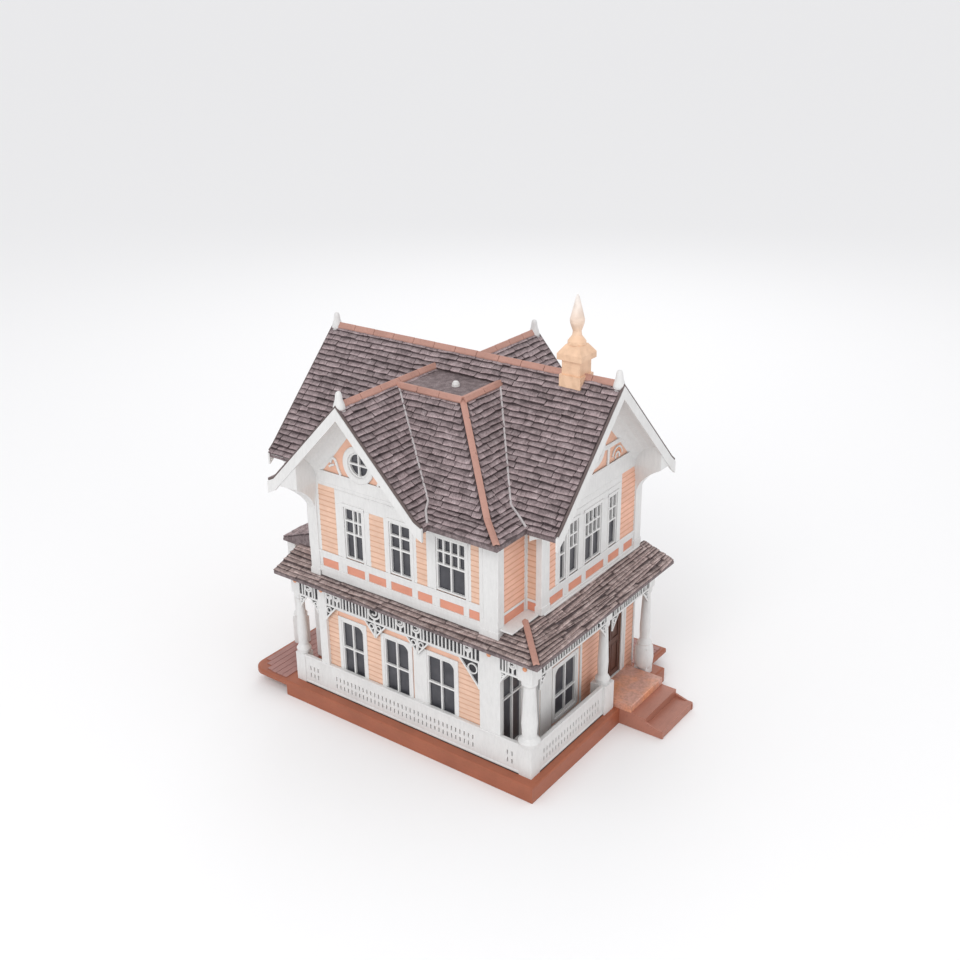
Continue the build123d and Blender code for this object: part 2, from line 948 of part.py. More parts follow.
corner_hip = Plane(origin=(pent_west, pent_front, 0), z_dir=(-1, 1, 0))
for name, side in (("pent_roof_west", Keep.TOP), ("pent_roof_front", Keep.BOTTOM)):
    with BuildPart() as pent:
        pent_roof()
        split(bisect_by=corner_hip, keep=side)
    keep(pent, name)

with BuildPart() as rear_porch_roof:
    rear_slope = [
        (house_rear, pent_underside),
        (rear_porch_edge, pent_underside),
        (rear_porch_edge, pent_edge),
        (house_rear, pent_top),
    ]
    prism_x(rear_slope, notch_west, house_east)
keep(rear_porch_roof, "rear_porch_roof")

# ---- Porch posts ----

corner_post_at = (-191, -248)
entrance_post_at = (36, -249)
right_post_at = (184, -250)
left_post_at = (-192, 252)
rear_posts_at = ((-104, 346), (174, 346))
corner_base = 25
entrance_base = 30
right_base = 24
left_base = 22
corner_shaft = 22
slim_shaft = 16
block_share = 0.62


def turned_post(x, y, base, shaft):
    """A square pedestal, a turned shaft and a square block under the porch roof."""
    half = base / 2
    block((x - half, y - half, floor_level), (x + half, y + half, rail_height))
    top = frieze_bottom - rail_height
    shape = [
        (shaft * 0.75, 0),
        (shaft * 0.85, 8),
        (shaft * 0.55, 16),
        (shaft * 0.62, 40),
        (shaft * 0.45, top - 14),
        (shaft * block_share, top - 8),
        (shaft * block_share, top),
    ]
    turned(shape, x, y, rail_height)
    square = shaft * block_share
    block(
        (x - square, y - square, frieze_bottom),
        (x + square, y + square, pent_underside),
    )


with BuildPart() as near_corner_post:
    turned_post(*corner_post_at, corner_base, corner_shaft)
keep(near_corner_post, "near_corner_post")

with BuildPart() as right_corner_post:
    turned_post(*right_post_at, right_base, slim_shaft)
keep(right_corner_post, "right_corner_post")

with BuildPart() as turned_posts:
    turned_post(*entrance_post_at, entrance_base, slim_shaft)
    for x, y in (left_post_at, *rear_posts_at):
        turned_post(x, y, left_base, slim_shaft)
keep(turned_posts, "turned_posts")

pilaster_spans = ((-198, -157), (180, 198))
with BuildPart() as west_pilasters:
    for start, end in pilaster_spans:
        block((trim_west, start, floor_level), (ground_west, end, pent_underside))
keep(west_pilasters, "west_pilasters")

# ---- Balustrades and friezes ----

slot_pitch = 9
slot_width = 2.6
slot_height = 9
slot_rows = 15
slot_drop = 3
rail_margin = 16
bar_pitch = 6
fret_margin = 12
fret_rails = 14
fret_drop = 2


def railing(face, length):
    """A rail panel centred on its face plane, with two rows of pierced slots."""
    tall = rail_height - floor_level
    columns = int((length - rail_margin) / slot_pitch)
    with BuildSketch(face) as panel:
        Rectangle(length, tall)
        with Locations((0, -slot_drop)):
            with GridLocations(slot_pitch, slot_rows, columns, 2):
                Rectangle(slot_width, slot_height, mode=Mode.SUBTRACT)
    extrude(panel.sketch, amount=-trim_thickness)


def fretwork(face, length):
    """A frieze of upright bars between two rails."""
    tall = frieze_top - frieze_bottom
    columns = int((length - fret_margin) / bar_pitch)
    with BuildSketch(face) as panel:
        Rectangle(length, tall)
        with Locations((0, -fret_drop)):
            with GridLocations(bar_pitch, 1, columns, 1):
                Rectangle(slot_width, tall - fret_rails, mode=Mode.SUBTRACT)
    extrude(panel.sketch, amount=-trim_thickness)


def porch_run(maker, side, at, start, end, low, high):
    maker(facing(side, at, (start + end) / 2, (low + high) / 2), end - start)


west_runs = (
    (corner_post_at[1] + corner_base / 2, pilaster_spans[0][0]),
    (pilaster_spans[0][1], pilaster_spans[1][0]),
    (pilaster_spans[1][1], left_post_at[1] - left_base / 2),
)
front_run = (corner_post_at[0] + corner_base / 2, entrance_post_at[0] - entrance_base / 2)
with BuildPart() as balustrade_west:
    for start, end in west_runs:
        porch_run(railing, "west", trim_west, start, end, floor_level, rail_height)
keep(balustrade_west, "balustrade_west")

with BuildPart() as balustrade_front:
    porch_run(railing, "front", trim_front, *front_run, floor_level, rail_height)
keep(balustrade_front, "balustrade_front")

block_gap = 0.5
post_square = slim_shaft * block_share + block_gap
corner_square = corner_shaft * block_share + block_gap
frieze_west_runs = (
    (corner_post_at[1] + corner_square, pilaster_spans[0][0]),
    (pilaster_spans[0][1], pilaster_spans[1][0]),
    (pilaster_spans[1][1], left_post_at[1] - post_square),
)
frieze_front_runs = (
    (corner_post_at[0] + corner_square, entrance_post_at[0] - post_square),
    (entrance_post_at[0] + post_square, right_post_at[0] - post_square),
)
with BuildPart() as frieze_west:
    for start, end in frieze_west_runs:
        porch_run(fretwork, "west", trim_west, start, end, frieze_bottom, frieze_top)
keep(frieze_west, "frieze_west")

with BuildPart() as frieze_front:
    for start, end in frieze_front_runs:
        porch_run(fretwork, "front", trim_front, start, end, frieze_bottom, frieze_top)
keep(frieze_front, "frieze_front")

bracket_reach = 22
bracket_drop = 26
bracket_bays = (-28, 65)


def bracket_outline(start, way):
    """A triangle under the frieze, reaching one way along it."""
    return [
        (start, frieze_bottom),
        (start + way * bracket_reach, frieze_bottom),
        (start, frieze_bottom - bracket_drop),
    ]


with BuildPart() as porch_brackets:
    west_brackets = [(pilaster_spans[0][1], 1), (pilaster_spans[1][0], -1)]
    west_brackets += [(place, way) for place in bracket_bays for way in (1, -1)]
    for start, way in west_brackets:
        prism_x(bracket_outline(start, way), trim_west, trim_west + trim_thickness)
    front_brackets = [(run[0], 1) for run in frieze_front_runs]
    front_brackets += [(run[1], -1) for run in frieze_front_runs]
    for start, way in front_brackets:
        prism_y(bracket_outline(start, way), trim_front, trim_front + trim_thickness)
keep(porch_brackets, "porch_brackets")
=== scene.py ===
import math
import random

import bmesh
import bpy
from mathutils import Matrix, Vector


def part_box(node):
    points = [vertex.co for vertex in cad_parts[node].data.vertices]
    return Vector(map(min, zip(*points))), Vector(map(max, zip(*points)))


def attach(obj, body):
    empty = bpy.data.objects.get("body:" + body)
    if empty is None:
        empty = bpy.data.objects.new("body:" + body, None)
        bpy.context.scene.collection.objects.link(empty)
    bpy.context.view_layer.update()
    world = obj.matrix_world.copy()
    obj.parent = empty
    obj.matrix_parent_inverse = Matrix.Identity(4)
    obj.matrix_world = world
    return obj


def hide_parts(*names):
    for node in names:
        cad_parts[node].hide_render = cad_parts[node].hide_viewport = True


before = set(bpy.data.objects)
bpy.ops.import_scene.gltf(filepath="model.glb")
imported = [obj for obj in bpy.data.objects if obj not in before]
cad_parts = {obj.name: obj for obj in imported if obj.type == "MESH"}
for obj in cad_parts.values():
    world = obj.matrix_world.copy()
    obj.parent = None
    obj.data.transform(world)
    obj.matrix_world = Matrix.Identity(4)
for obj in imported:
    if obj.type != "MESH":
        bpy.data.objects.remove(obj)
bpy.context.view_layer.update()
mm = 0.001
metre = 1000
far = -1e9


# A node with its settings. Each input is a plain value or another node's output.
def addNode(tree, kind, inputs=(), **settings):
    node = tree.nodes.new(kind)
    for name, value in settings.items():
        setattr(node, name, value)
    for socket, value in dict(inputs).items():
        if hasattr(value, "is_output"):
            tree.links.new(value, node.inputs[socket])
        else:
            node.inputs[socket].default_value = value
    return node


def product(tree, first, second):
    return addNode(tree, "ShaderNodeMath", {0: first, 1: second}, operation="MULTIPLY").outputs[0]


def newMaterial(name, roughness):
    material = bpy.data.materials.new(name)
    material.use_nodes = True
    tree = material.node_tree
    tree.nodes["Principled BSDF"].inputs["Roughness"].default_value = roughness
    return material, tree


def finishPaint(tree, colour, height=None, strength=0.3, distance=0.0006):
    shader = tree.nodes["Principled BSDF"]
    tree.links.new(colour, shader.inputs["Base Color"])
    if height is not None:
        inputs = {"Height": height, "Strength": strength, "Distance": distance}
        tree.links.new(addNode(tree, "ShaderNodeBump", inputs).outputs["Normal"], shader.inputs["Normal"])


def noiseNode(tree, scale, detail=4, stretch=(1, 1, 1), roughness=0.5):
    place = addNode(tree, "ShaderNodeTexCoord").outputs["Object"]
    mapped = addNode(tree, "ShaderNodeMapping", {"Vector": place, "Scale": stretch}).outputs["Vector"]
    inputs = {"Vector": mapped, "Scale": scale, "Detail": detail, "Roughness": roughness}
    return addNode(tree, "ShaderNodeTexNoise", inputs).outputs["Fac"]


def rampNode(tree, source, stops):
    ramp = addNode(tree, "ShaderNodeValToRGB", {"Fac": source})
    elements = ramp.color_ramp.elements
    while len(elements) < len(stops):
        elements.new(0.5)
    for element, (position, colour) in zip(elements, stops):
        element.position = position
        element.color = (*colour, 1)
    return ramp.outputs["Color"]


def mixNode(tree, factor, first, second, blend="MIX"):
    first, second = (colour if hasattr(colour, "is_output") else (*colour, 1) for colour in (first, second))
    inputs = {0: factor, 6: first, 7: second}
    return addNode(tree, "ShaderNodeMix", inputs, data_type="RGBA", blend_type=blend).outputs[2]


def toned(colour, gain):
    return tuple(min(1, channel * gain) for channel in colour)


# Brushed paint: a broad drift of tone, brush streaks, and dirt caught in fine grain.
def paintMaterial(name, colour, shade=0.86, roughness=0.5, streak=(1, 1, 0.25), grain=420, dirt=0.12):
    material, tree = newMaterial(name, roughness)
    brush = noiseNode(tree, 260, 5, streak, 0.6)
    base = rampNode(tree, noiseNode(tree, 22, 3), [(0.35, toned(colour, shade)), (0.62, colour)])
    brushed = rampNode(tree, brush, [(0.3, toned(colour, 0.88)), (0.6, toned(colour, 1.04))])
    body = mixNode(tree, 0.45, base, brushed)
    speck = rampNode(tree, noiseNode(tree, grain, 3), [(0.3, (1, 1, 1)), (0.42, (0, 0, 0))])
    finishPaint(tree, mixNode(tree, product(tree, speck, dirt), body, toned(colour, 0.6)), brush, 0.22)
    return material


# How far a point lies along one axis of its own lapped piece, from 0 to 1.
def spotNode(tree, axis):
    spot = addNode(tree, "ShaderNodeAttribute", attribute_name="spot").outputs["Vector"]
    place = addNode(tree, "ShaderNodeSeparateXYZ", {"Vector": spot}).outputs[axis]
    return addNode(tree, "ShaderNodeMath", {0: place, 1: 0.5}, operation="ADD").outputs[0]


# Painted wooden shingles: each has its own tone, with painted shade under each course and between shingles
# and a painted highlight along each butt.
def shingleMaterial(name, dark, middle, pale):
    material, tree = newMaterial(name, 0.72)
    tone = addNode(tree, "ShaderNodeAttribute", attribute_name="tone").outputs["Fac"]
    drift = noiseNode(tree, 95, 5, (1, 1, 0.7), 0.65)
    grain = noiseNode(tree, 520, 6, (1, 1, 0.4), 0.7)
    own = rampNode(tree, tone, [(0.0, toned(middle, 0.62)), (0.5, middle), (1.0, toned(middle, 1.35))])
    mottled = rampNode(tree, drift, [(0.34, dark), (0.5, middle), (0.66, pale)])
    streaks = rampNode(tree, grain, [(0.36, (0.5, 0.46, 0.47)), (0.55, (1, 1, 1)), (0.7, (1.35, 1.3, 1.3))])
    # Painted shade at the butt and just below the next course, with a painted highlight along the butt edge.
    lapShadeAndHighlight = rampNode(tree, spotNode(tree, "Y"), [
        (0.0, (0.4, 0.37, 0.38)), (0.05, (1.4, 1.36, 1.36)), (0.3, (1, 1, 1)), (0.52, (0.8, 0.78, 0.78)),
        (0.64, (0.28, 0.25, 0.26)),
    ])
    # Painted shade in the gaps between neighbouring shingles.
    gaps = rampNode(tree, spotNode(tree, "X"), [
        (0.0, (0.5, 0.47, 0.48)), (0.035, (1, 1, 1)), (0.965, (1, 1, 1)), (1.0, (0.5, 0.47, 0.48)),
    ])
    body = mixNode(tree, 0.5, own, mottled)
    for share, wash in ((0.8, streaks), (1.0, lapShadeAndHighlight), (0.85, gaps)):
        body = mixNode(tree, share, body, wash, "MULTIPLY")
    finishPaint(tree, body, grain, 0.7, 0.0012)
    return material


# Painted clapboards, with a painted shade line along the foot of each board, under each lap.
def clapboardMaterial(name, colour, line):
    material, tree = newMaterial(name, 0.5)
    broad = rampNode(tree, noiseNode(tree, 30, 3), [(0.3, toned(colour, 0.9)), (0.65, colour)])
    brush = noiseNode(tree, 300, 5, (0.25, 0.25, 1), 0.6)
    brushed = rampNode(tree, brush, [(0.3, (0.9, 0.87, 0.85)), (0.62, (1.03, 1.03, 1.03))])
    body = mixNode(tree, 0.8, broad, brushed, "MULTIPLY")
    # Painted shade: the foot of each board is mixed towards the darker line colour.
    edge = rampNode(tree, spotNode(tree, "Y"), [(0.0, (1, 1, 1)), (0.12, (0.6, 0.6, 0.6)), (0.2, (0, 0, 0))])
    finishPaint(tree, mixNode(tree, edge, body, line), brush, 0.3, 0.0005)
    return material


def paneMaterial():
    material, tree = newMaterial("charcoalPane", 0.28)
    haze = [(0.3, (0.034, 0.034, 0.042)), (0.7, (0.062, 0.062, 0.072))]
    finishPaint(tree, rampNode(tree, noiseNode(tree, 40, 3), haze), noiseNode(tree, 160, 2), 0.15)
    return material


# Chimney paint fades from peach at the foot to white at the finial's tip.
def chimneyMaterial(peach, white, low, high):
    material, tree = newMaterial("chimneyPaint", 0.5)
    place = addNode(tree, "ShaderNodeTexCoord").outputs["Object"]
    height = addNode(tree, "ShaderNodeSeparateXYZ", {"Vector": place}).outputs["Z"]
    span = addNode(tree, "ShaderNodeMapRange", {"Value": height, "From Min": low, "From Max": high})
    fade = rampNode(tree, span.outputs["Result"], [(0.0, peach), (0.55, toned(peach, 0.97)), (1.0, white)])
    worn = rampNode(tree, noiseNode(tree, 70, 4), [(0.3, (0.82, 0.78, 0.74)), (0.6, (1.03, 1.02, 1.0))])
    finishPaint(tree, mixNode(tree, 0.8, fade, worn, "MULTIPLY"), noiseNode(tree, 240, 4))
    return material


def floorboardMaterial():
    material, tree = newMaterial("lacquerFloorboards", 0.35)
    inputs = {
        "Vector": addNode(tree, "ShaderNodeTexCoord").outputs["Object"], "Scale": 1, "Brick Width": 0.11,
        "Row Height": 0.012, "Mortar Size": 0.0004, "Color1": (0.46, 0.27, 0.14, 1),
        "Color2": (0.36, 0.2, 0.1, 1), "Mortar": (0.09, 0.05, 0.03, 1),
    }
    boards = addNode(tree, "ShaderNodeTexBrick", inputs).outputs["Color"]
    grainStops = [(0.3, (0.75, 0.72, 0.7)), (0.7, (1.1, 1.08, 1.05))]
    grain = rampNode(tree, noiseNode(tree, 240, 5, (0.12, 1, 1)), grainStops)
    finishPaint(tree, mixNode(tree, 0.8, boards, grain, "MULTIPLY"))
    return material


def brassMaterial():
    material, tree = newMaterial("polishedBrass", 0.3)
    tree.nodes["Principled BSDF"].inputs["Metallic"].default_value = 1
    tarnish = [(0.3, (0.45, 0.3, 0.11)), (0.7, (0.78, 0.56, 0.24))]
    finishPaint(tree, rampNode(tree, noiseNode(tree, 700, 4), tarnish))
    return material


# Worn paint on the landing: orange undercoat shows through in patches.
def landingMaterial():
    material, tree = newMaterial("wornLandingPaint", 0.4)
    patches = rampNode(tree, noiseNode(tree, 16, 3), [(0.42, (0.60, 0.33, 0.26)), (0.58, (0.76, 0.34, 0.19))])
    wear = rampNode(tree, noiseNode(tree, 220, 5), [(0.32, (0.78, 0.74, 0.72)), (0.6, (1.06, 1.05, 1.04))])
    finishPaint(tree, mixNode(tree, 0.9, patches, wear, "MULTIPLY"), noiseNode(tree, 160, 4), 0.3, 0.0008)
    return material


trimPaint = paintMaterial("whiteTrimPaint", (0.735, 0.73, 0.72), 0.93, 0.42, dirt=0.05)
wallPaint = paintMaterial("peachWallPaint", (0.80, 0.47, 0.34), 0.9, 0.5, (0.3, 0.3, 1), dirt=0.08)
panelPaint = paintMaterial("salmonPanelPaint", (0.72, 0.30, 0.20), 0.86, 0.5, (0.3, 0.3, 1))
basePaint = paintMaterial("terracottaBasePaint", (0.36, 0.108, 0.053), 0.78, 0.46, (0.2, 0.2, 1), 300, 0.3)
stepPaint = paintMaterial("stepPaint", (0.43, 0.175, 0.12), 0.8, 0.45, (0.2, 1, 1), 300, 0.3)
deckPaint = paintMaterial("mauveDeckPaint", (0.40, 0.20, 0.175), 0.75, 0.5, (0.2, 1, 1), 300, 0.3)
ridgePaint = paintMaterial("ridgeTilePaint", (0.50, 0.27, 0.215), 0.8, 0.6, (1, 0.3, 1), 260, 0.35)
edgePaint = paintMaterial("darkRoofEdge", (0.13, 0.095, 0.09), 0.75, 0.6)
doorPaint = paintMaterial("brownDoorPaint", (0.115, 0.05, 0.035), 0.8, 0.4)
# Flat near-black paint for boards that stand in for shade behind fretwork and under rails.
shadowPaint = paintMaterial("shadowBackingPaint", (0.035, 0.034, 0.038), 0.8, 0.7)
roomPaint = paintMaterial("creamRoomPaint", (0.80, 0.70, 0.58), 0.94, 0.6, dirt=0.04)
bossPaint = paintMaterial("orangeBossPaint", (0.78, 0.34, 0.18), 0.8, 0.45)
flashingPaint = paintMaterial("greyFlashingPaint", (0.56, 0.52, 0.52), 0.82, 0.5, dirt=0.2)
roofTones = ((0.125, 0.095, 0.098), (0.31, 0.245, 0.25), (0.50, 0.425, 0.43))
shinglePaint = shingleMaterial("mauveShingles", *roofTones)
porchTones = ((0.12, 0.088, 0.085), (0.37, 0.29, 0.272), (0.72, 0.62, 0.59))
porchShinglePaint = shingleMaterial("porchShingles", *porchTones)
# The second colour of each clapboard paint is its painted shade line.
peachBoards = clapboardMaterial("peachClapboards", (0.80, 0.54, 0.405), (0.58, 0.31, 0.20))
# A darker, redder copy of the peach clapboards for the south-facing walls: painted shade for the side turned
# from the light.
shadedSouthBoards = clapboardMaterial("shadedSouthClapboards", (0.84, 0.49, 0.36), (0.60, 0.28, 0.175))
landingPaint = landingMaterial()
panePaint = paneMaterial()
chimneyPaint = chimneyMaterial((0.85, 0.58, 0.40), (0.84, 0.81, 0.79), 0.62, 0.775)
floorboards = floorboardMaterial()
brass = brassMaterial()

nodeMaterials = {
    basePaint: ("plinth", "deck_slab"),
    stepPaint: ("front_steps",),
    landingPaint: ("porch_landing",),
    wallPaint: (
        "ground_wall_west", "ground_wall_tower", "ground_wall_front", "upper_wall_west",
        "upper_wall_tower", "upper_wall_front", "rear_wall", "west_return",
        "east_corner_south", "east_corner_north",
    ),
    roomPaint: ("room_partitions",),
    floorboards: ("upper_floor", "attic_floor"),
    ridgePaint: ("main_ridge_cap", "gable_ridge_caps", "tower_hip_caps"),
    shinglePaint: (
        "main_roof_west", "main_roof_east", "front_gable_roof", "back_gable_roof", "tower_roof",
        "pent_roof_west", "pent_roof_front", "rear_porch_roof",
    ),
    panePaint: ("window_panes",),
    chimneyPaint: ("chimney_stack", "chimney_finial"),
    doorPaint: ("front_door",),
    brass: ("hinge_frame_leaves", "hinge_door_leaves", "door_knob"),
}
paintOf = {name: material for material, names in nodeMaterials.items() for name in names}
# Everything else is white trim.
for name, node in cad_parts.items():
    node.data.materials.clear()
    node.data.materials.append(paintOf.get(name, trimPaint))
print("materials ready")


def addPiece(name, mesh, material, body="house", stands=()):
    piece = bpy.data.objects.new(name, mesh)
    bpy.context.scene.collection.objects.link(piece)
    if material is not None:
        mesh.materials.clear()
        mesh.materials.append(material)
    if stands:
        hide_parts(*stands)
    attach(piece, body)
    return piece


# Closes a shape into a piece. A bevel width is in millimetres.
def addShape(name, shape, material=trimPaint, bevel=0, body="house", stands=()):
    bmesh.ops.recalc_face_normals(shape, faces=shape.faces)
    mesh = bpy.data.meshes.new(name)
    shape.to_mesh(mesh)
    shape.free()
    piece = addPiece(name, mesh, material, body, stands)
    if bevel:
        modifier = piece.modifiers.new("softEdges", "BEVEL")
        modifier.width = bevel * mm
        modifier.segments = 2
        modifier.limit_method = "ANGLE"
    return piece


def addBox(shape, low, high):
    size = Vector(high) - Vector(low)
    middle = (Vector(high) + Vector(low)) / 2
    matrix = Matrix.Translation(middle * mm) @ Matrix.Diagonal((*(size * mm), 1))
    bmesh.ops.create_cube(shape, size=1, matrix=matrix)


# A closed outline of points carried along a vector, in millimetres.
def addPrism(shape, outline, depth):
    low = [shape.verts.new(Vector(point) * mm) for point in outline]
    high = [shape.verts.new((Vector(point) + Vector(depth)) * mm) for point in outline]
    shape.faces.new(low)
    shape.faces.new(high[::-1])
    for index in range(len(outline)):
        after = (index + 1) % len(outline)
        shape.faces.new((low[index], high[index], high[after], low[after]))


def boardSet(name, boxes, material=trimPaint, bevel=0.9, body="house"):
    shape = bmesh.new()
    for low, high in boxes:
        addBox(shape, low, high)
    return addShape(name, shape, material, bevel, body)


def pieceAttribute(tree, name):
    kind = "GeometryNodeInputNamedAttribute"
    return addNode(tree, kind, {"Name": name}, data_type="FLOAT_VECTOR").outputs["Attribute"]


# Shingles and clapboards: a thin box on each point, turned, sized, leaned a little and wavering.
def lappedTree():
    tree = bpy.data.node_groups.new("lappedPieces", "GeometryNodeTree")
    sockets = {
        "Geometry": "Geometry", "Lean": "Float", "Taper": "Float", "Wobble": "Float", "Seed": "Int",
        "Finish": "Material",
    }
    for label, kind in sockets.items():
        tree.interface.new_socket(label, in_out="INPUT", socket_type="NodeSocket" + kind)
    tree.interface.new_socket("Geometry", in_out="OUTPUT", socket_type="NodeSocketGeometry")
    given = addNode(tree, "NodeGroupInput").outputs
    cube = addNode(tree, "GeometryNodeMeshCube", {"Vertices X": 3, "Vertices Y": 3})
    where = addNode(tree, "GeometryNodeInputPosition").outputs[0]
    # Where a point lies on its own piece, for the painted shade and highlight in the laps.
    inputs = {"Geometry": cube.outputs["Mesh"], "Name": "spot", "Value": where}
    spot = addNode(tree, "GeometryNodeStoreNamedAttribute", inputs, data_type="FLOAT_VECTOR", domain="POINT")
    # The head of each piece is thinner than its butt.
    split = addNode(tree, "ShaderNodeSeparateXYZ", {0: where}).outputs
    fall = product(tree, product(tree, split["Y"], given["Taper"]), split["Z"])
    drop = addNode(tree, "ShaderNodeCombineXYZ", {"Z": product(tree, fall, -1)}).outputs[0]
    inputs = {"Geometry": spot.outputs["Geometry"], "Offset": drop}
    shaped = addNode(tree, "GeometryNodeSetPosition", inputs)
    turn = addNode(tree, "FunctionNodeEulerToRotation", {0: pieceAttribute(tree, "turn")}).outputs[0]
    laid = addNode(tree, "GeometryNodeInstanceOnPoints", {
        "Points": given["Geometry"], "Instance": shaped.outputs["Geometry"], "Rotation": turn,
        "Scale": pieceAttribute(tree, "span"),
    })
    inputs = {2: product(tree, given["Lean"], -1), 3: given["Lean"], "Seed": given["Seed"]}
    lean = addNode(tree, "FunctionNodeRandomValue", inputs, data_type="FLOAT").outputs[1]
    leanTurn = addNode(tree, "ShaderNodeCombineXYZ", {"X": lean, "Z": lean}).outputs[0]
    inputs = {"Instances": laid.outputs["Instances"], "Rotation": leanTurn}
    leaned = addNode(tree, "GeometryNodeRotateInstances", inputs).outputs["Instances"]
    tone = addNode(tree, "FunctionNodeRandomValue", {"Seed": given["Seed"]}, data_type="FLOAT").outputs[1]
    inputs = {"Geometry": leaned, "Name": "tone", "Value": tone}
    kept = addNode(tree, "GeometryNodeStoreNamedAttribute", inputs, data_type="FLOAT", domain="INSTANCE")
    real = addNode(tree, "GeometryNodeRealizeInstances", {"Geometry": kept.outputs["Geometry"]})
    # Hand-cut edges waver a little.
    waver = addNode(tree, "ShaderNodeTexNoise", {"Scale": 130}).outputs["Color"]
    inputs = {0: waver, 1: (0.5, 0.5, 0.5)}
    centred = addNode(tree, "ShaderNodeVectorMath", inputs, operation="SUBTRACT").outputs[0]
    inputs = {0: centred, "Scale": given["Wobble"]}
    sized = addNode(tree, "ShaderNodeVectorMath", inputs, operation="SCALE").outputs[0]
    inputs = {"Geometry": real.outputs["Geometry"], "Offset": sized}
    moved = addNode(tree, "GeometryNodeSetPosition", inputs)
    inputs = {"Geometry": moved.outputs["Geometry"], "Material": given["Finish"]}
    painted = addNode(tree, "GeometryNodeSetMaterial", inputs)
    addNode(tree, "NodeGroupOutput", {"Geometry": painted.outputs["Geometry"]})
    return tree


lappedPieces = lappedTree()


# Each place is (centre, matrix of the piece's own axes, size), in metres.
def growLapped(name, places, material, seed, lean=0.0, taper=1.1, wobble=0.0):
    mesh = bpy.data.meshes.new(name + "Places")
    mesh.from_pydata([tuple(place[0]) for place in places], [], [])
    turn = mesh.attributes.new("turn", "FLOAT_VECTOR", "POINT")
    span = mesh.attributes.new("span", "FLOAT_VECTOR", "POINT")
    for index, (_, axes, size) in enumerate(places):
        turn.data[index].vector = axes.to_euler()
        span.data[index].vector = size
    source = bpy.data.objects.new(name + "Places", mesh)
    bpy.context.scene.collection.objects.link(source)
    modifier = source.modifiers.new("lapped", "NODES")
    modifier.node_group = lappedPieces
    values = {"Lean": lean, "Taper": taper, "Wobble": wobble, "Seed": seed, "Finish": material}
    for item in lappedPieces.interface.items_tree:
        if item.in_out == "INPUT" and item.name in values:
            modifier[item.identifier] = values[item.name]
    graph = bpy.context.evaluated_depsgraph_get()
    lapped = source.evaluated_get(graph)
    made = bpy.data.meshes.new_from_object(lapped, preserve_all_data_layers=True, depsgraph=graph)
    made.name = name
    bpy.data.objects.remove(source)
    return addPiece(name, made, None)


mainLow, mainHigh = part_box("main_roof_west")
frontLow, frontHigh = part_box("front_gable_roof")
backLow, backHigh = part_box("back_gable_roof")
towerLow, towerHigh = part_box("tower_roof")
boardLow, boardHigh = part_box("gable_bargeboards")


# A roof with its ridge along X. The kick is where the slope eases, as (reach from the ridge, height).
def crossRoof(low, high, kick):
    return {"middle": (low.y + high.y) / 2, "top": high.z, "half": (high.y - low.y) / 2, "kick": kick}


mainRoof = {"middle": mainHigh.x, "top": mainHigh.z, "half": mainHigh.x - mainLow.x, "kick": (0.174, 0.462)}
frontRoof = crossRoof(frontLow, frontHigh, (0.151, 0.458))
backRoof = crossRoof(backLow, backHigh, (0.135, 0.459))
eave = 0.450
towerKick = (-0.198, -0.1735, 0.469)
towerTop = (-0.0995, -0.0555, towerHigh.z)


def gableHeight(roof, place):
    reach = abs(place - roof["middle"])
    kick, kickHeight = roof["kick"]
    if reach <= kick:
        return roof["top"] - (roof["top"] - kickHeight) * reach / kick
    if reach <= roof["half"] + 1e-6:
        return kickHeight - (kickHeight - eave) * (reach - kick) / (roof["half"] - kick)
    return far


def towerSide(place, edge, kick, top):
    if place < edge:
        return far
    kickHeight, topHeight = towerKick[2], towerTop[2]
    if place < kick:
        return eave + (kickHeight - eave) * (place - edge) / (kick - edge)
    return kickHeight + (topHeight - kickHeight) * (place - kick) / (top - kick)


# The height of each roof over a place, or far below where the roof doesn't reach.
def mainHeight(x, y):
    return gableHeight(mainRoof, x) if boardLow.y <= y <= boardHigh.y else far


def frontHeight(x, y):
    return gableHeight(frontRoof, y) if boardLow.x <= x <= mainRoof["middle"] else far


def backHeight(x, y):
    return gableHeight(backRoof, y) if mainRoof["middle"] <= x <= boardHigh.x else far


def towerWestHeight(x, y):
    return towerSide(x, towerLow.x, towerKick[0], towerTop[0])


def towerSouthHeight(x, y):
    return towerSide(y, towerLow.y, towerKick[1], towerTop[1])


def towerHeight(x, y):
    if y > frontRoof["middle"] or x > mainRoof["middle"]:
        return far
    return min(towerWestHeight(x, y), towerSouthHeight(x, y), towerTop[2])


shingleLook = {
    "width": (0.014, 0.036), "first": (0.4, 1), "thickness": 0.0026, "swell": (0.8, 1.2), "lap": 1.5,
    "ragged": (0.96, 1.04), "tilt": math.radians(9), "rise": 0.0016, "lift": (-0.0003, 0.0004),
    "slip": (-0.0009, 0.0006), "gap": (0.0003, 0.0009), "under": 0.0004, "clear": 0.0072,
    "sample": 0.001, "least": 0.002, "sliver": 0.006, "over": 0.001,
}


# Whether a point of a face lies under the roofs above, or too near the hip of one beside it.
def covered(point, above, beside, margin):
    if any(height(point.x, point.y) > point.z + shingleLook["under"] for height in above):
        return True
    return any(height(point.x, point.y) < point.z + margin for height in beside)


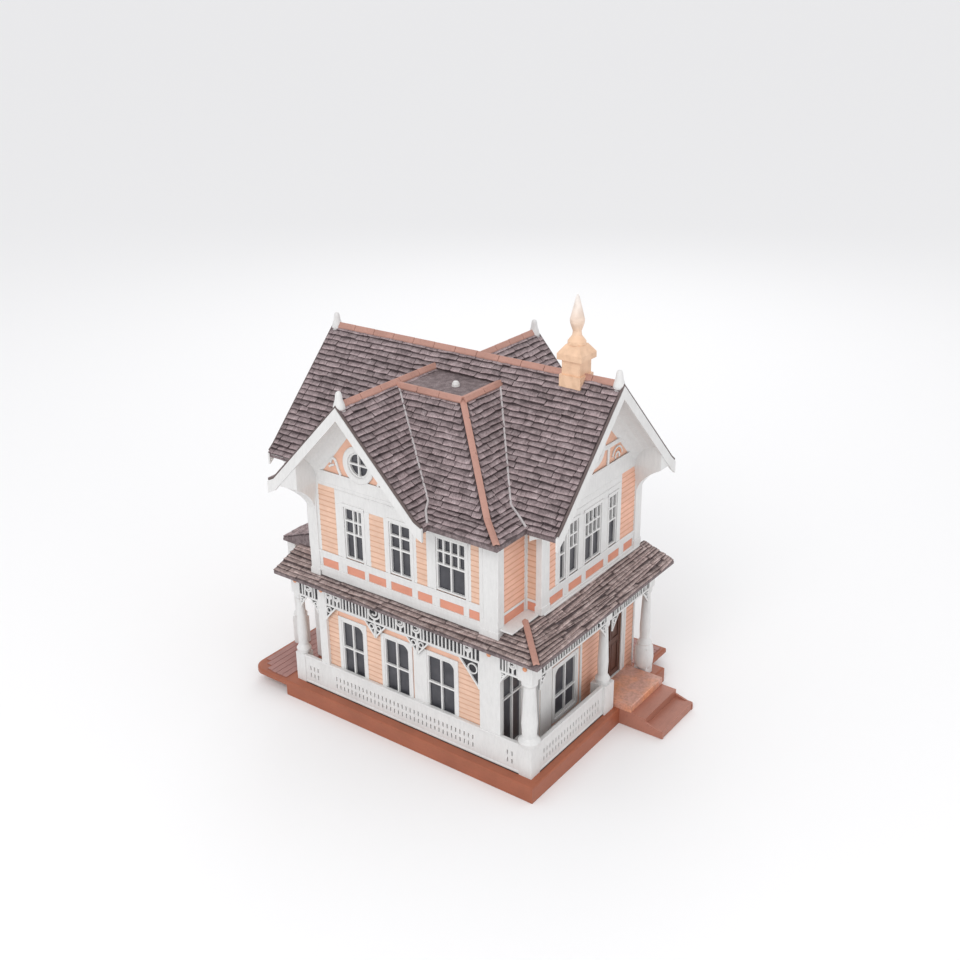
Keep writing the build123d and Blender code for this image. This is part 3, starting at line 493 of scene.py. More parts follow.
# Rows of shingles over the parts of one sloping face that no other roof covers.
def shinglePlaces(corner, along, up, width, height, exposure, above=(), beside=()):
    look = shingleLook
    normal = along.cross(up)
    tilted = (up * math.cos(look["tilt"]) - normal * math.sin(look["tilt"])).normalized()
    axes = Matrix((along, tilted, along.cross(tilted))).transposed()
    places = []
    rows = max(1, round(height / exposure))
    step = height / rows
    margin = look["clear"] * up.z / up.xy.length
    count = int(width / look["sample"])
    for row in range(rows):
        level = (row + 0.5) * step
        runs = []
        start = None
        for sample in range(count + 1):
            reach = min(sample * look["sample"], width)
            bare = not covered(corner + along * reach + up * level, above, beside, margin)
            if bare and start is None:
                start = reach
            if start is not None and (not bare or sample == count):
                runs.append((start, reach))
                start = None
        for start, end in runs:
            left = start
            while left < end - look["least"]:
                piece = dice.uniform(*look["width"]) * (dice.uniform(*look["first"]) if left == start else 1)
                right = min(left + piece, end)
                if end - right < look["sliver"]:
                    right = end
                length = step * look["lap"] * dice.uniform(*look["ragged"])
                length = min(length, height + look["over"] - row * step)
                low = row * step + dice.uniform(*look["slip"])
                centre = corner + along * ((left + right) / 2) + up * (low + length / 2)
                centre += normal * (look["rise"] + dice.uniform(*look["lift"]))
                across = right - left - dice.uniform(*look["gap"])
                thickness = look["thickness"] * dice.uniform(*look["swell"])
                places.append((centre, axes, (across, length, thickness)))
                left = right
    return places


# The kick above the eave and the main slope, each as (foot, up, length).
def slopeSegments(eavePoint, kickPoint, topPoint):
    for low, high in ((eavePoint, kickPoint), (kickPoint, topPoint)):
        rise = high - low
        yield low, rise.normalized(), rise.length


# One side of a gable roof: side is -1 or 1, and alongY says that the ridge runs along Y.
def gableFace(roof, side, alongY, start, end, exposure, above):
    points = []
    for reach, height in ((roof["half"], eave), roof["kick"], (0.0, roof["top"])):
        across = roof["middle"] + side * reach
        points.append(Vector((across, start, height)) if alongY else Vector((start, across, height)))
    along = Vector((0, 1, 0)) if alongY else Vector((1, 0, 0))
    places = []
    for low, up, length in slopeSegments(*points):
        direction, corner = along, low
        if direction.cross(up).z < 0:
            corner = low + along * (end - start)
            direction = -along
        places += shinglePlaces(corner, direction, up, end - start, length, exposure, above)
    return places


def towerFaces(exposure):
    places = []
    levels = (towerLow.x, towerLow.y, eave), towerKick, towerTop
    reachX, reachY = mainRoof["middle"] - towerLow.x, frontRoof["middle"] - towerLow.y
    above = (mainHeight, frontHeight)
    for low, up, length in slopeSegments(*(Vector((x, towerLow.y, z)) for x, _, z in levels)):
        corner, along = low + Vector((0, reachY, 0)), Vector((0, -1, 0))
        places += shinglePlaces(corner, along, up, reachY, length, exposure, above, (towerSouthHeight,))
    for low, up, length in slopeSegments(*(Vector((towerLow.x, y, z)) for _, y, z in levels)):
        along = Vector((1, 0, 0))
        places += shinglePlaces(low, along, up, reachX, length, exposure, above, (towerWestHeight,))
    return places


def layShingles(name, places, seed, material=shinglePaint, lean=0.055, wobble=0.0048):
    growLapped(name, places, material, seed, lean, 1.2, wobble)


dice = random.Random(7)
exposures = {"main": 0.0106, "gable": 0.0100, "tower": 0.0098}
rakeInset = 0.004
ends = (boardLow.y + rakeInset, boardHigh.y - rakeInset, exposures["main"])
layShingles("mainShinglesWest", gableFace(mainRoof, -1, True, *ends, (frontHeight, towerHeight)), 11)
layShingles("mainShinglesEast", gableFace(mainRoof, 1, True, *ends, (backHeight,)), 12)
frontPlaces, backPlaces = [], []
frontEnds = (boardLow.x + rakeInset, mainRoof["middle"], exposures["gable"])
backEnds = (mainRoof["middle"], boardHigh.x - rakeInset, exposures["gable"])
for side in (-1, 1):
    frontPlaces += gableFace(frontRoof, side, False, *frontEnds, (mainHeight, towerHeight))
    backPlaces += gableFace(backRoof, side, False, *backEnds, (mainHeight,))
layShingles("frontGableShingles", frontPlaces, 13)
layShingles("backGableShingles", backPlaces, 14)
layShingles("towerShingles", towerFaces(exposures["tower"]), 15)
print("roof shingles laid")

# Wall faces, each as (side, where it stands): west and east run along Y, south and north along X.
groundWest, upperWest, trimWest, notchWest = ("west", -195), ("west", -200), ("west", -202), ("west", -120)
towerSouth, wingSouth, trimSouth = ("south", -192), ("south", -221), ("south", -259)
rearNorth, westEndNorth, houseEast, bayEast = ("north", 289), ("north", 201), ("east", 192), ("east", 229)


def wallPoint(wall, along, height, out):
    side, at = wall
    depth = at - out if side in ("west", "south") else at + out
    return (depth, along, height) if side in ("west", "east") else (along, depth, height)


def outwardOf(wall):
    return Vector(wallPoint((wall[0], 0), 0, 0, 1))


def wallBox(wall, start, end, low, high, out, back=0):
    first = wallPoint(wall, start, low, back)
    second = wallPoint(wall, end, high, out)
    return tuple(map(min, first, second)), tuple(map(max, first, second))


# What is left of a row of boards between its gaps, as (start, end).
def boardRuns(start, end, gaps):
    runs = []
    for low, high in sorted(gaps):
        if low > start:
            runs.append((start, low))
        start = max(start, high)
    if start < end:
        runs.append((start, end))
    return runs


clapboardLook = {"exposure": 9.6, "lap": 1.3, "thickness": 1.5, "tilt": math.radians(5), "proud": 0.4}


# Lapped boards over each panel, given as (start, end, low, high) in millimetres.
def clapboardPanels(name, wall, panels, seed):
    look = clapboardLook
    outward = outwardOf(wall)
    across = Vector((0, 0, 1)).cross(outward)
    upward = (Vector((0, 0, 1)) * math.cos(look["tilt"]) - outward * math.sin(look["tilt"])).normalized()
    axes = Matrix((across, upward, across.cross(upward))).transposed()
    places = []
    for start, end, low, high in panels:
        rows = max(1, round((high - low) / look["exposure"]))
        step = (high - low) / rows
        for row in range(rows):
            length = min(step * look["lap"], high - low - row * step)
            level = low + row * step + length / 2
            centre = Vector(wallPoint(wall, (start + end) / 2, level, look["proud"]))
            places.append((centre * mm, axes, tuple(Vector((end - start, length, look["thickness"])) * mm)))
    # South-facing walls take the painted-shade copy of the clapboards.
    material = shadedSouthBoards if wall[0] == "south" else peachBoards
    growLapped(name, places, material, seed, 0.0, 0.9, 0.0004)


# How far a CAD window reaches along its wall, and up it, in millimetres.
def gapOf(node, wall):
    low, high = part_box(node)
    axis = 1 if wall[0] in ("west", "east") else 0
    return low[axis] * metre, high[axis] * metre


def levelsOf(node):
    low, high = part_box(node)
    return low.z * metre, high.z * metre


# Rows are (low, high, gaps, proud), rails (start, end, low, high, proud), panels (start, end, low, high).
def panelledWall(name, wall, start, end, seed, rows, salmon, clapboards, rails=()):
    boxes = []
    for low, high, gaps, proud in rows:
        boxes += [wallBox(wall, *run, low, high, proud) for run in boardRuns(start, end, gaps)]
    boardSet(name + "Boards", boxes + [wallBox(wall, *rail) for rail in rails], bevel=0.5)
    panels = [wallBox(wall, *panel, 0.9) for panel in salmon]
    boardSet(name + "SalmonPanels", panels, panelPaint, 0.4)
    clapboardPanels(name + "Clapboards", wall, clapboards, seed)


# Slim boards round the upper windows.
def architraves(gaps, width, top):
    sides = [(low - width, low) for low, _ in gaps] + [(high, high + width) for _, high in gaps]
    heads = [(low - width, high + width, 418, top, 3.2) for low, high in gaps]
    return [(*side, 321, 423, 2.8) for side in sides] + heads


def spans(panels):
    return [panel[:2] for panel in panels]


westWindows = [gapOf(f"window_upper_west_{index}", upperWest) for index in (1, 2, 3)]
westClapboards = ((141, 178, 321, 446), (35, 66, 321, 420), (-54, -33, 321, 425), (-159, -143, 321, 442))
westPanels = ((142, 178), (82, 122), (35, 73), (-21, 24), (-63, -33), (-127, -79), (-159, -138))
panelledWall(
    "upperWest", upperWest, -192, 201, 21,
    rows=(
        (270, 280, (), 1.4), (280, 291, (), 2.6), (291, 307, westPanels, 1.8), (307, 321, (), 2.2),
        (321, 420, westWindows + spans(westClapboards), 1.8),
        (420, 446, ((141, 178), (-159, -143)), 1.8), (446, 452, (), 1.8),
    ),
    salmon=[(*span, 291, 307) for span in westPanels],
    clapboards=westClapboards,
    rails=[
        (-192, 201, 317, 321, 3.1), (-192, 201, 288, 290.5, 3.1), (-45, 201, 452, 474, 1.8),
        (-60, 140, 444, 445.4, 2.6), (-45, 201, 470, 474, 3.1),
    ] + architraves(westWindows, 5, 424),
)
southPanes = ((-69.5, -50.5), (-40, -13), (8, 60), (85, 112))
southClapboards = ((-98, -81, 321, 420), (126, 173, 321, 446))
southPanels = ((-97, -57), (-40, 1), (14, 72), (87, 124), (140, 171))
panelledWall(
    "upperSouth", wingSouth, -120, 192, 22,
    rows=(
        (284, 291, (), 2.6), (291, 307, southPanels, 1.8), (307, 321, (), 2.2),
        (321, 420, list(southPanes) + spans(southClapboards), 1.8),
        (420, 446, ((126, 173),), 1.8), (446, 480, (), 1.8),
    ),
    salmon=[(*span, 291, 307) for span in southPanels],
    clapboards=southClapboards,
    rails=[
        (-120, 192, 317, 321, 3.1), (-120, 192, 288, 290.5, 3.1),
        (-110, 124, 432, 433.4, 2.6), (-110, 190, 476, 480, 3.1),
    ] + architraves(southPanes, 4, 423),
)
panelledWall(
    "tower", towerSouth, -200, -120, 23,
    rows=(
        (286, 304, ((-184, -127),), 1.6), (304, 309, (), 2.2), (309, 446, ((-186, -127),), 1.8),
        (446, 450, (), 1.8),
    ),
    salmon=((-184, -127, 287, 304),),
    clapboards=((-186, -127, 309, 446),),
)
panelledWall(
    "notch", notchWest, -221, -192, 24,
    rows=(
        (286, 304, ((-212, -196),), 1.6), (304, 309, (), 2.2), (309, 446, ((-212, -196),), 1.8),
        (446, 452, (), 1.8),
    ),
    salmon=((-213, -195, 288, 303),),
    clapboards=((-212, -196, 309, 446),),
)

# Corner posts of the upper storey, with a flared foot on the porch roof, and the boards in the notch.
cornerPosts = {
    "top": 449, "foot": 14, "flare": 1.4,
    "plans": (
        (-203.9, -186, -195.9, -160, 268), (-203.9, -190, 184, 204.9, 268),
        (-123.9, -101, -224.9, -213, 286), (174, 195.9, -224.9, -205, 286),
    ),
}
posts = [
    ((-205, -197, 300), (-200, -193, 446)), ((-205, -168, 300), (-203, -164, 446)),
    ((-199, -220, 284.4), (-119, -192, 287.4)), ((-119, -228, 283), (191, -221, 287.4)),
]
for x0, x1, y0, y1, low in cornerPosts["plans"]:
    flare = cornerPosts["flare"]
    posts.append(((x0, y0, low), (x1, y1, cornerPosts["top"])))
    foot = (x0 - flare, y0 - (flare if y0 < 0 else 0), low)
    posts.append((foot, (x1 + 1, y1 + 1, low + cornerPosts["foot"])))
boardSet("upperCornerPosts", posts, bevel=1.4)
print("upper storey boards done")


# Skins a list of vertex rings, and closes both ends or joins the last ring to the first.
def joinRings(shape, rings, loop=False):
    count = len(rings[0])
    pairs = list(zip(rings, rings[1:]))
    if loop:
        pairs.append((rings[-1], rings[0]))
    for low, high in pairs:
        for index in range(count):
            after = (index + 1) % count
            shape.faces.new((low[index], low[after], high[after], high[index]))
    if not loop:
        shape.faces.new(rings[0][::-1])
        shape.faces.new(rings[-1])


# Skins rings of points given in millimetres.
def addRings(shape, rings, loop=False):
    joinRings(shape, [[shape.verts.new(Vector(point) * mm) for point in ring] for ring in rings], loop)


def circle(sides):
    for step in range(sides):
        angle = 2 * math.pi * step / sides
        yield math.cos(angle), math.sin(angle)


# The points of a line, each with the points before and after it.
def neighbours(points):
    for index, point in enumerate(points):
        yield point, points[max(index - 1, 0)], points[min(index + 1, len(points) - 1)]


def addTube(shape, points, radius, sides=8):
    rings = []
    for point, before, after in neighbours([Vector(point) for point in points]):
        along = (after - before).normalized()
        across = along.cross(Vector((0, 0, 1)))
        if across.length < 0.01:
            across = along.cross(Vector((0, 1, 0)))
        across.normalize()
        upright = across.cross(along)
        rings.append([point + (across * x + upright * y) * radius for x, y in circle(sides)])
    addRings(shape, rings)


# A turned piece: its profile is a list of (radius, height) above the centre.
def addTurned(shape, centre, profile, sides):
    x, y, z = centre
    addRings(shape, [
        [(x + radius * c, y + radius * s, z + height) for c, s in circle(sides)] for radius, height in profile
    ])


# Rounds the sides of a turned piece and leaves its ends flat.
def smoothSides(piece):
    for face in piece.data.polygons:
        face.use_smooth = len(face.vertices) == 4


# A turned ring on a wall: its section is a list of (radius, distance from the wall).
def addRing(shape, wall, along, height, section, steps=40):
    addRings(shape, [
        [wallPoint(wall, along + radius * c, height + radius * s, out) for radius, out in section]
        for c, s in circle(steps)
    ], True)


# A flat ribbon of wood that follows points (along, height) on a wall.
def addRibbon(shape, wall, points, width, out, back=0):
    rings = []
    for (along, height), before, after in neighbours(points):
        run, rise = after[0] - before[0], after[1] - before[1]
        length = math.hypot(run, rise)
        x, y = -rise / length * width / 2, run / length * width / 2
        corners = ((1, back), (1, out), (-1, out), (-1, back))
        rings.append([wallPoint(wall, along + hand * x, height + hand * y, depth) for hand, depth in corners])
    addRings(shape, rings)


def arcPoints(along, height, radius, start, end, steps=10):
    found = []
    for step in range(steps + 1):
        angle = math.radians(start + (end - start) * step / steps)
        found.append((along + radius * math.cos(angle), height + radius * math.sin(angle)))
    return found


gableTrims = (
    {"wall": upperWest, "roof": frontRoof, "out": 45, "drops": (36, 49), "corner": 118},
    {"wall": wingSouth, "roof": mainRoof, "out": 50, "drops": (42, 38), "corner": 161},
    {"wall": rearNorth, "roof": mainRoof, "out": 48, "drops": (42, 38), "corner": 161},
    {"wall": bayEast, "roof": backRoof, "out": 45, "drops": (36, 40), "corner": 118},
)
coveLook = {
    "plan": (
        (0, 1), (0.08, 0.8), (0.2, 0.58), (0.38, 0.34), (0.58, 0.17), (0.8, 0.07), (1, 0.04), (1, 0), (0, 0),
    ),
    "reaches": (0, 25, 50, 80), "under": 7, "least": 12, "proud": 0.2, "end": 3,
}


# The plaster cove between a gable wall and its bargeboards.
def gableCove(index, wall, roof, out, drops, corner):
    half = roof["half"] * metre
    near, remote = drops
    least, settled = coveLook["least"], coveLook["reaches"][-1]
    shape = bmesh.new()
    for hand in (-1, 1):
        rings = []
        for reach in sorted({*coveLook["reaches"], corner, roof["kick"][0] * metre, half - coveLook["end"]}):
            drop = near + (remote - near) * min(reach / settled, 1)
            if reach > corner:
                drop = least + (drop - least) * (half - reach) / (half - corner)
            under = gableHeight(roof, roof["middle"] + reach * mm) * metre - coveLook["under"]
            along = roof["middle"] * metre + hand * reach
            rings.append([
                wallPoint(wall, along, under - drop * low, coveLook["proud"] + out * share)
                for share, low in coveLook["plan"]
            ])
        addRings(shape, rings)
    addShape(f"gableCove{index}", shape)


for index, trim in enumerate(gableTrims):
    gableCove(index, **trim)

# Swept corbels carry the eaves over the corners of the house. Slope 1 leans back along Y, and 0 along X.
corbels = (
    {"corner": (-200, 201), "reach": (-46, 45), "inner": (24, -17), "slope": 1},
    {"corner": (192, -221), "reach": (25, -50), "inner": (-20, 24), "slope": 0},
    {"corner": (192, 289), "reach": (25, 48), "inner": (-20, -24), "slope": 0},
    {"corner": (-120, 289), "reach": (-36, 48), "inner": (20, -24), "slope": 0},
    {"corner": (229, 187), "reach": (46, 16), "inner": (-24, -17), "slope": 1},
    {"corner": (229, -77), "reach": (46, -16), "inner": (-24, 17), "slope": 1},
)
corbelLook = {
    "low": 384, "high": 449, "levels": 12, "sweep": 2.3, "crown": 70, "back": 0.3, "under": 9,
    "proud": 2.2, "inner": (0.7, 0.5), "cut": (2, 7), "chamfer": 0.3,
}
shape = bmesh.new()
for corbel in corbels:
    rings = []
    cornerX, cornerY = corbel["corner"]
    reachX, reachY = corbel["reach"]
    innerX, innerY = corbel["inner"]
    signX, signY = math.copysign(1, reachX), math.copysign(1, reachY)
    # The last ring leans back under the sloping roof.
    for level in range(corbelLook["levels"] + 2):
        rise = min(level / corbelLook["levels"], 1)
        spread = [rise ** corbelLook["sweep"]] * 2
        height = corbelLook["low"] + (corbelLook["high"] - corbelLook["low"]) * rise
        if level > corbelLook["levels"]:
            height += corbelLook["crown"]
            spread[corbel["slope"]] = corbelLook["back"]
        outX = cornerX + signX * corbelLook["proud"] + reachX * spread[0]
        outY = cornerY + signY * corbelLook["proud"] + reachY * spread[1]
        share = corbelLook["inner"][0] + corbelLook["inner"][1] * rise
        inX, inY = cornerX + innerX * share, cornerY + innerY * share
        cut = corbelLook["cut"][0] + corbelLook["cut"][1] * min(spread)
        chamfer = cut * corbelLook["chamfer"]
        outline = (
            (inX, inY), (outX, inY), (outX, outY - signY * cut),
            (outX - signX * chamfer, outY - signY * chamfer), (outX - signX * cut, outY), (inX, outY),
        )
        ring = []
        for x, y in outline:
            slopes = [slope(x * mm, y * mm) for slope in (mainHeight, frontHeight, backHeight, towerHeight)]
            under = max(slopes) * metre - corbelLook["under"]
            ring.append((x, y, min(height, under) if under > 0 else height))
        rings.append(ring)
    addRings(shape, rings)
addShape("eaveCorbels", shape)

# Round windows: a broad flat ring, with fretwork in the corners of the gable.
ringSection = ((22, 0), (22, 3.4), (24, 4.4), (31, 4.4), (33, 3.0), (33, 0))
roundWindows = {upperWest: (83.5, 501), wingSouth: (31, 520)}
westScroll = ((62, 492), (60, 498), (56, 502), (51, 500), (48, 493), (45, 484), (40, 474))
shape, arches = bmesh.new(), bmesh.new()
for wall, (middle, height) in roundWindows.items():
    addRing(shape, wall, middle, height, ringSection)
for hand in (-1, 1):
    middle = roundWindows[upperWest][0]
    addRibbon(shape, upperWest, [(middle + hand * reach, height) for reach, height in westScroll], 4.6, 2.8)
    line = [(middle + hand * reach, height) for reach, height in ((66, 484), (60, 488), (54, 490))]
    addRibbon(shape, upperWest, line, 4, 2.4)
    middle = roundWindows[wingSouth][0]
    addRibbon(shape, wingSouth, [(middle + hand * 30, 513), (middle + hand * 90, 513)], 8, 2.8)
    addRibbon(shape, wingSouth, [(middle + hand * 45, 478), (middle + hand * 47, 513)], 6, 2.6)
    addRibbon(shape, wingSouth, arcPoints(middle + hand * 76, 488, 15, 0, 180), 3, 2.4)
    addRibbon(shape, wingSouth, arcPoints(middle + hand * 76, 486, 7, -30, 210), 3, 2.4)
    addRibbon(arches, wingSouth, arcPoints(middle + hand * 76, 488, 11, 0, 180), 4, 1.8)
addShape("gableFretwork", shape, bevel=0.5)
addShape("gableArches", arches, bossPaint)
print("gables trimmed")


ridgeLook = {
    "leg": 9, "thick": 3, "lift": 7, "tile": 46, "shoulder": (0.4, 0.12), "ends": ((0, 0.2), (0.985, -0.1)),
}


# Angle tiles along a ridge or hip. The legs lean down along each face.
def addCap(shape, start, end, downA, downB, leg=ridgeLook["leg"], lift=ridgeLook["lift"]):
    start, end = Vector(start), Vector(end)
    downA, downB = Vector(downA).normalized(), Vector(downB).normalized()
    along = (end - start).normalized()
    length = (end - start).length
    upward = -(downA + downB).normalized()
    thick = upward * ridgeLook["thick"]
    rise, run = ridgeLook["shoulder"]
    count = max(1, round(length / ridgeLook["tile"]))
    for tile in range(count):
        rings = []
        for share, swell in ridgeLook["ends"]:
            crown = start + along * length * (tile + share) / count + upward * (lift + swell)
            rings.append((
                crown + downA * leg, crown + thick * rise + downA * leg * run,
                crown + thick * rise + downB * leg * run, crown + downB * leg,
                crown + downB * leg - thick, crown - thick, crown + downA * leg - thick,
            ))
        addRings(shape, rings)


def ridgePiece(name, runs, bevel=0.7, stands=()):
    shape = bmesh.new()
    for run in runs:
        addCap(shape, *run)
    addShape(name, shape, ridgePaint, bevel, stands=stands)


# The two ways down from a ridge along Y or along X.
def downFrom(roof, alongY):
    fall = -(roof["top"] - roof["kick"][1]) / roof["kick"][0]
    return [(side, 0, fall) if alongY else (0, side, fall) for side in (-1, 1)]


# How far a face lies from the ridge at one height.
def gableReach(roof, height):
    kick, kickHeight = roof["kick"]
    if height >= kickHeight:
        return kick * (roof["top"] - height) / (roof["top"] - kickHeight)
    return kick + (roof["half"] - kick) * (kickHeight - height) / (kickHeight - eave)


def towerReach(height, edge, kick, top):
    kickHeight, topHeight = towerKick[2], towerTop[2]
    if height >= kickHeight:
        return kick + (top - kick) * (height - kickHeight) / (topHeight - kickHeight)
    return edge + (kick - edge) * (height - eave) / (kickHeight - eave)


ridgeX, ridgeZ = mainRoof["middle"] * metre, mainRoof["top"] * metre
frontY, frontZ = frontRoof["middle"] * metre, frontRoof["top"] * metre
backY, backZ = backRoof["middle"] * metre, backRoof["top"] * metre
eaveZ = eave * metre
meetFront = ridgeX - gableReach(mainRoof, frontRoof["top"]) * metre
meetBack = ridgeX + gableReach(mainRoof, backRoof["top"]) * metre
mainRun = ((ridgeX, -262, ridgeZ), (ridgeX, 330, ridgeZ), *downFrom(mainRoof, True))
ridgePiece("mainRidgeTiles", [mainRun], stands=("main_ridge_cap",))
ridgePiece("gableRidgeTiles", [
    ((-239, frontY, frontZ), (meetFront - 1, frontY, frontZ), *downFrom(frontRoof, False)),
    ((meetBack + 1, backY, backZ), (268, backY, backZ), *downFrom(backRoof, False)),
], stands=("gable_ridge_caps",))

hipLook = {"leg": 5.6, "lift": 6.0, "sag": (-0.2, -0.25), "start": 2, "flatLeg": 8}
hipPoints = [
    Vector((towerLow.x, towerLow.y, eave)) * metre + Vector([hipLook["start"]] * 3),
    Vector(towerKick) * metre, Vector(towerTop) * metre,
]
topX, topY, topZ = hipPoints[2]
inward, down = hipLook["sag"]
sag = Vector((1, 1, 0)).normalized() * inward + Vector((0, 0, down))
hipRuns = []
for low, high in zip(hipPoints, hipPoints[1:]):
    across = Vector((0, 0, 1)).cross(high - low).normalized()
    hipRuns.append((low, high, across + sag, -across + sag, hipLook["leg"], hipLook["lift"]))
flatEndY = frontY - gableReach(frontRoof, topZ * mm) * metre
flatEndX = ridgeX - gableReach(mainRoof, topZ * mm) * metre
flatLeg = hipLook["flatLeg"]
hipRuns += [
    ((topX, topY, topZ), (topX, flatEndY, topZ), (-1, 0, -1.44), (1, 0, -0.15), flatLeg),
    ((topX, topY, topZ), (flatEndX, topY, topZ), (0, -1, -1.2), (0, 1, -0.15), flatLeg),
]
ridgePiece("towerTiles", hipRuns, stands=("tower_hip_caps",))

# Lead-grey flashings in the valleys beside the tower.
valleyLook = {"radius": 2.1, "lift": 5.4}
valleyWest, valleySouth = [], []
for level in (topZ, towerKick[2] * metre, 460, eaveZ):
    height = level * mm
    towerX = towerReach(height, towerLow.x, towerKick[0], towerTop[0]) * metre
    towerY = towerReach(height, towerLow.y, towerKick[1], towerTop[1]) * metre
    lifted = level + valleyLook["lift"]
    valleyWest.append((towerX, frontY - gableReach(frontRoof, height) * metre, lifted))
    valleySouth.append((ridgeX - gableReach(mainRoof, height) * metre, towerY, lifted))
shape = bmesh.new()
addTube(shape, valleyWest, valleyLook["radius"])
addTube(shape, valleySouth, valleyLook["radius"])
addShape("valleyFlashings", shape, flashingPaint)

# A thin dark edge along every rake, and along the eaves of the tower.
rakeEdges = {"radius": 2.4, "inset": 2.6, "lift": 2.0, "eaveRadius": 1.6}
shape = bmesh.new()
for roof, alongY, face in (
    (mainRoof, False, boardLow.y), (mainRoof, False, boardHigh.y), (frontRoof, True, boardLow.x),
    (backRoof, True, boardHigh.x),
):
    depth = face * metre + rakeEdges["inset"] * math.copysign(1, -face)
    half, kick = roof["half"] * metre - rakeEdges["radius"], roof["kick"][0] * metre
    line = []
    for reach in (-half, -kick, 0, kick, half):
        place = roof["middle"] * metre + reach
        level = gableHeight(roof, place * mm) * metre + rakeEdges["lift"]
        line.append((depth, place, level) if alongY else (place, depth, level))
    addTube(shape, line, rakeEdges["radius"])
addTube(shape, [(-157, -215, 449), (-232.5, -215, 449), (-232.5, -86, 449)], rakeEdges["eaveRadius"])
addShape("roofEdges", shape, edgePaint)
print("ridges, hips and valleys done")

# Porch roofs: long rough shingles, laid lower than those of the main roof.
pentLow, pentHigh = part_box("pent_roof_west")
pentFrontLow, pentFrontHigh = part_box("pent_roof_front")
rearLow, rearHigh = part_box("rear_porch_roof")
pent = {
    "edge": 0.260, "top": 0.286, "inset": 0.070, "exposure": 0.0088, "strip": 0.026, "wall": -0.200,
    "notch": (-0.2005, -0.192), "end": 0.202, "frontShare": (0.9, 0.72),
}
pentX, pentY, northY = pentLow.x, pentFrontLow.y, pentHigh.y
pentUp = Vector((pent["inset"], 0, pent["top"] - pent["edge"]))
pentSlope = pentUp.z / pentUp.x


def pentWestHeight(x, y):
    return pent["edge"] + (x - pentX) * pentSlope


def pentFrontHeight(x, y):
    return pent["edge"] + (y - pentY) * pentSlope


def pentPlaces(x, y, up, along, width, height, exposure=pent["exposure"], beside=()):
    level = pentWestHeight(x, y) if x in (pent["wall"], pent["notch"][0]) else pent["edge"]
    corner = Vector((x, y, level))
    return shinglePlaces(corner, Vector(along), up.normalized(), width, height, exposure, (), beside)


shingleLook.update(width=(0.045, 0.150), tilt=math.radians(6), thickness=0.0017)
strip = pent["strip"] * pentUp.length / pentUp.x
upper = pentUp.length - strip
places = pentPlaces(pentX, northY, pentUp, (0, -1, 0), northY - pentY, strip, beside=(pentFrontHeight,))
places += pentPlaces(pent["wall"], northY, pentUp, (0, -1, 0), northY - pent["end"], upper)
layShingles("pentShinglesWest", places, 31, porchShinglePaint, 0.05, 0.0040)
notchX, notchY = pent["notch"]
places = pentPlaces(
    notchX, notchY, pentUp, (0, -1, 0), notchY - pentY, upper - 0.002, beside=(pentFrontHeight,),
)
layShingles("pentShinglesNotch", places, 33, porchShinglePaint, 0.03, 0.0026)
shingleLook.update(width=(0.040, 0.180), thickness=0.0016)
frontUp = Vector((0, pentUp.x, pentUp.z))
reachShare, exposureShare = pent["frontShare"]
places = pentPlaces(
    pentX, pentY, frontUp, (1, 0, 0), pentFrontHigh.x - pentX, frontUp.length * reachShare,
    pent["exposure"] * exposureShare, (pentWestHeight,),
)
layShingles("pentShinglesFront", places, 32, porchShinglePaint, 0.07, 0.0052)
shingleLook.update(width=(0.014, 0.036), thickness=0.0022)
rearUp = Vector((0, rearLow.y - rearHigh.y, pent["top"] - pent["edge"]))
places = pentPlaces(rearHigh.x, rearHigh.y, rearUp, (-1, 0, 0), rearHigh.x - rearLow.x, rearUp.length)
layShingles("rearPorchShingles", places, 34, lean=0.05, wobble=0.0040)
hipStart = Vector((pentX, pentY, pent["edge"])) * metre + Vector((2.5, 2.5, 2))
hipEnd = hipStart + Vector((66, 66, 24.5))
ridgePiece("pentHipTiles", [(hipStart, hipEnd, (0.6, -1, -0.3), (-1, 0.6, -0.3), 5.5)], 0.6)
edgeLook = {"radius": 1.8, "inset": 2, "level": 258.5}
inset, level = edgeLook["inset"], edgeLook["level"]
west, south, north = pentX * metre + inset, pentY * metre + inset, northY * metre - inset
rearY = rearHigh.y * metre - inset
pentLine = ((west, north, level), (west, south, level), (pentFrontHigh.x * metre - inset, south, level))
rearLine = ((rearLow.x * metre + inset, rearY, level), (rearHigh.x * metre - inset, rearY, level))
shape = bmesh.new()
addTube(shape, pentLine, edgeLook["radius"])
addTube(shape, rearLine, edgeLook["radius"])
addShape("pentEdges", shape, edgePaint)
print("porch roofs done")


# Ground storey: clapboards between the windows, with white casings.
def windowCasing(wall, gap, low, high, width=7, out=2.4):
    start, end = gap
    return [
        wallBox(wall, start - width, start, low - width, high + width, out),
        wallBox(wall, end, end + width, low - width, high + width, out),
        wallBox(wall, start, end, high, high + width, out),
        wallBox(wall, start, end, low - width, low, out + 1.2),
    ]


groundWindows = {f"window_ground_west_{index}": groundWest for index in (1, 2, 3)}
groundWindows["window_ground_front"] = wingSouth
casings = []
for node, wall in groundWindows.items():
    casings += windowCasing(wall, gapOf(node, wall), *levelsOf(node))
towerWindow = "window_ground_tower"
casings += windowCasing(towerSouth, gapOf(towerWindow, towerSouth), *levelsOf(towerWindow), 5)
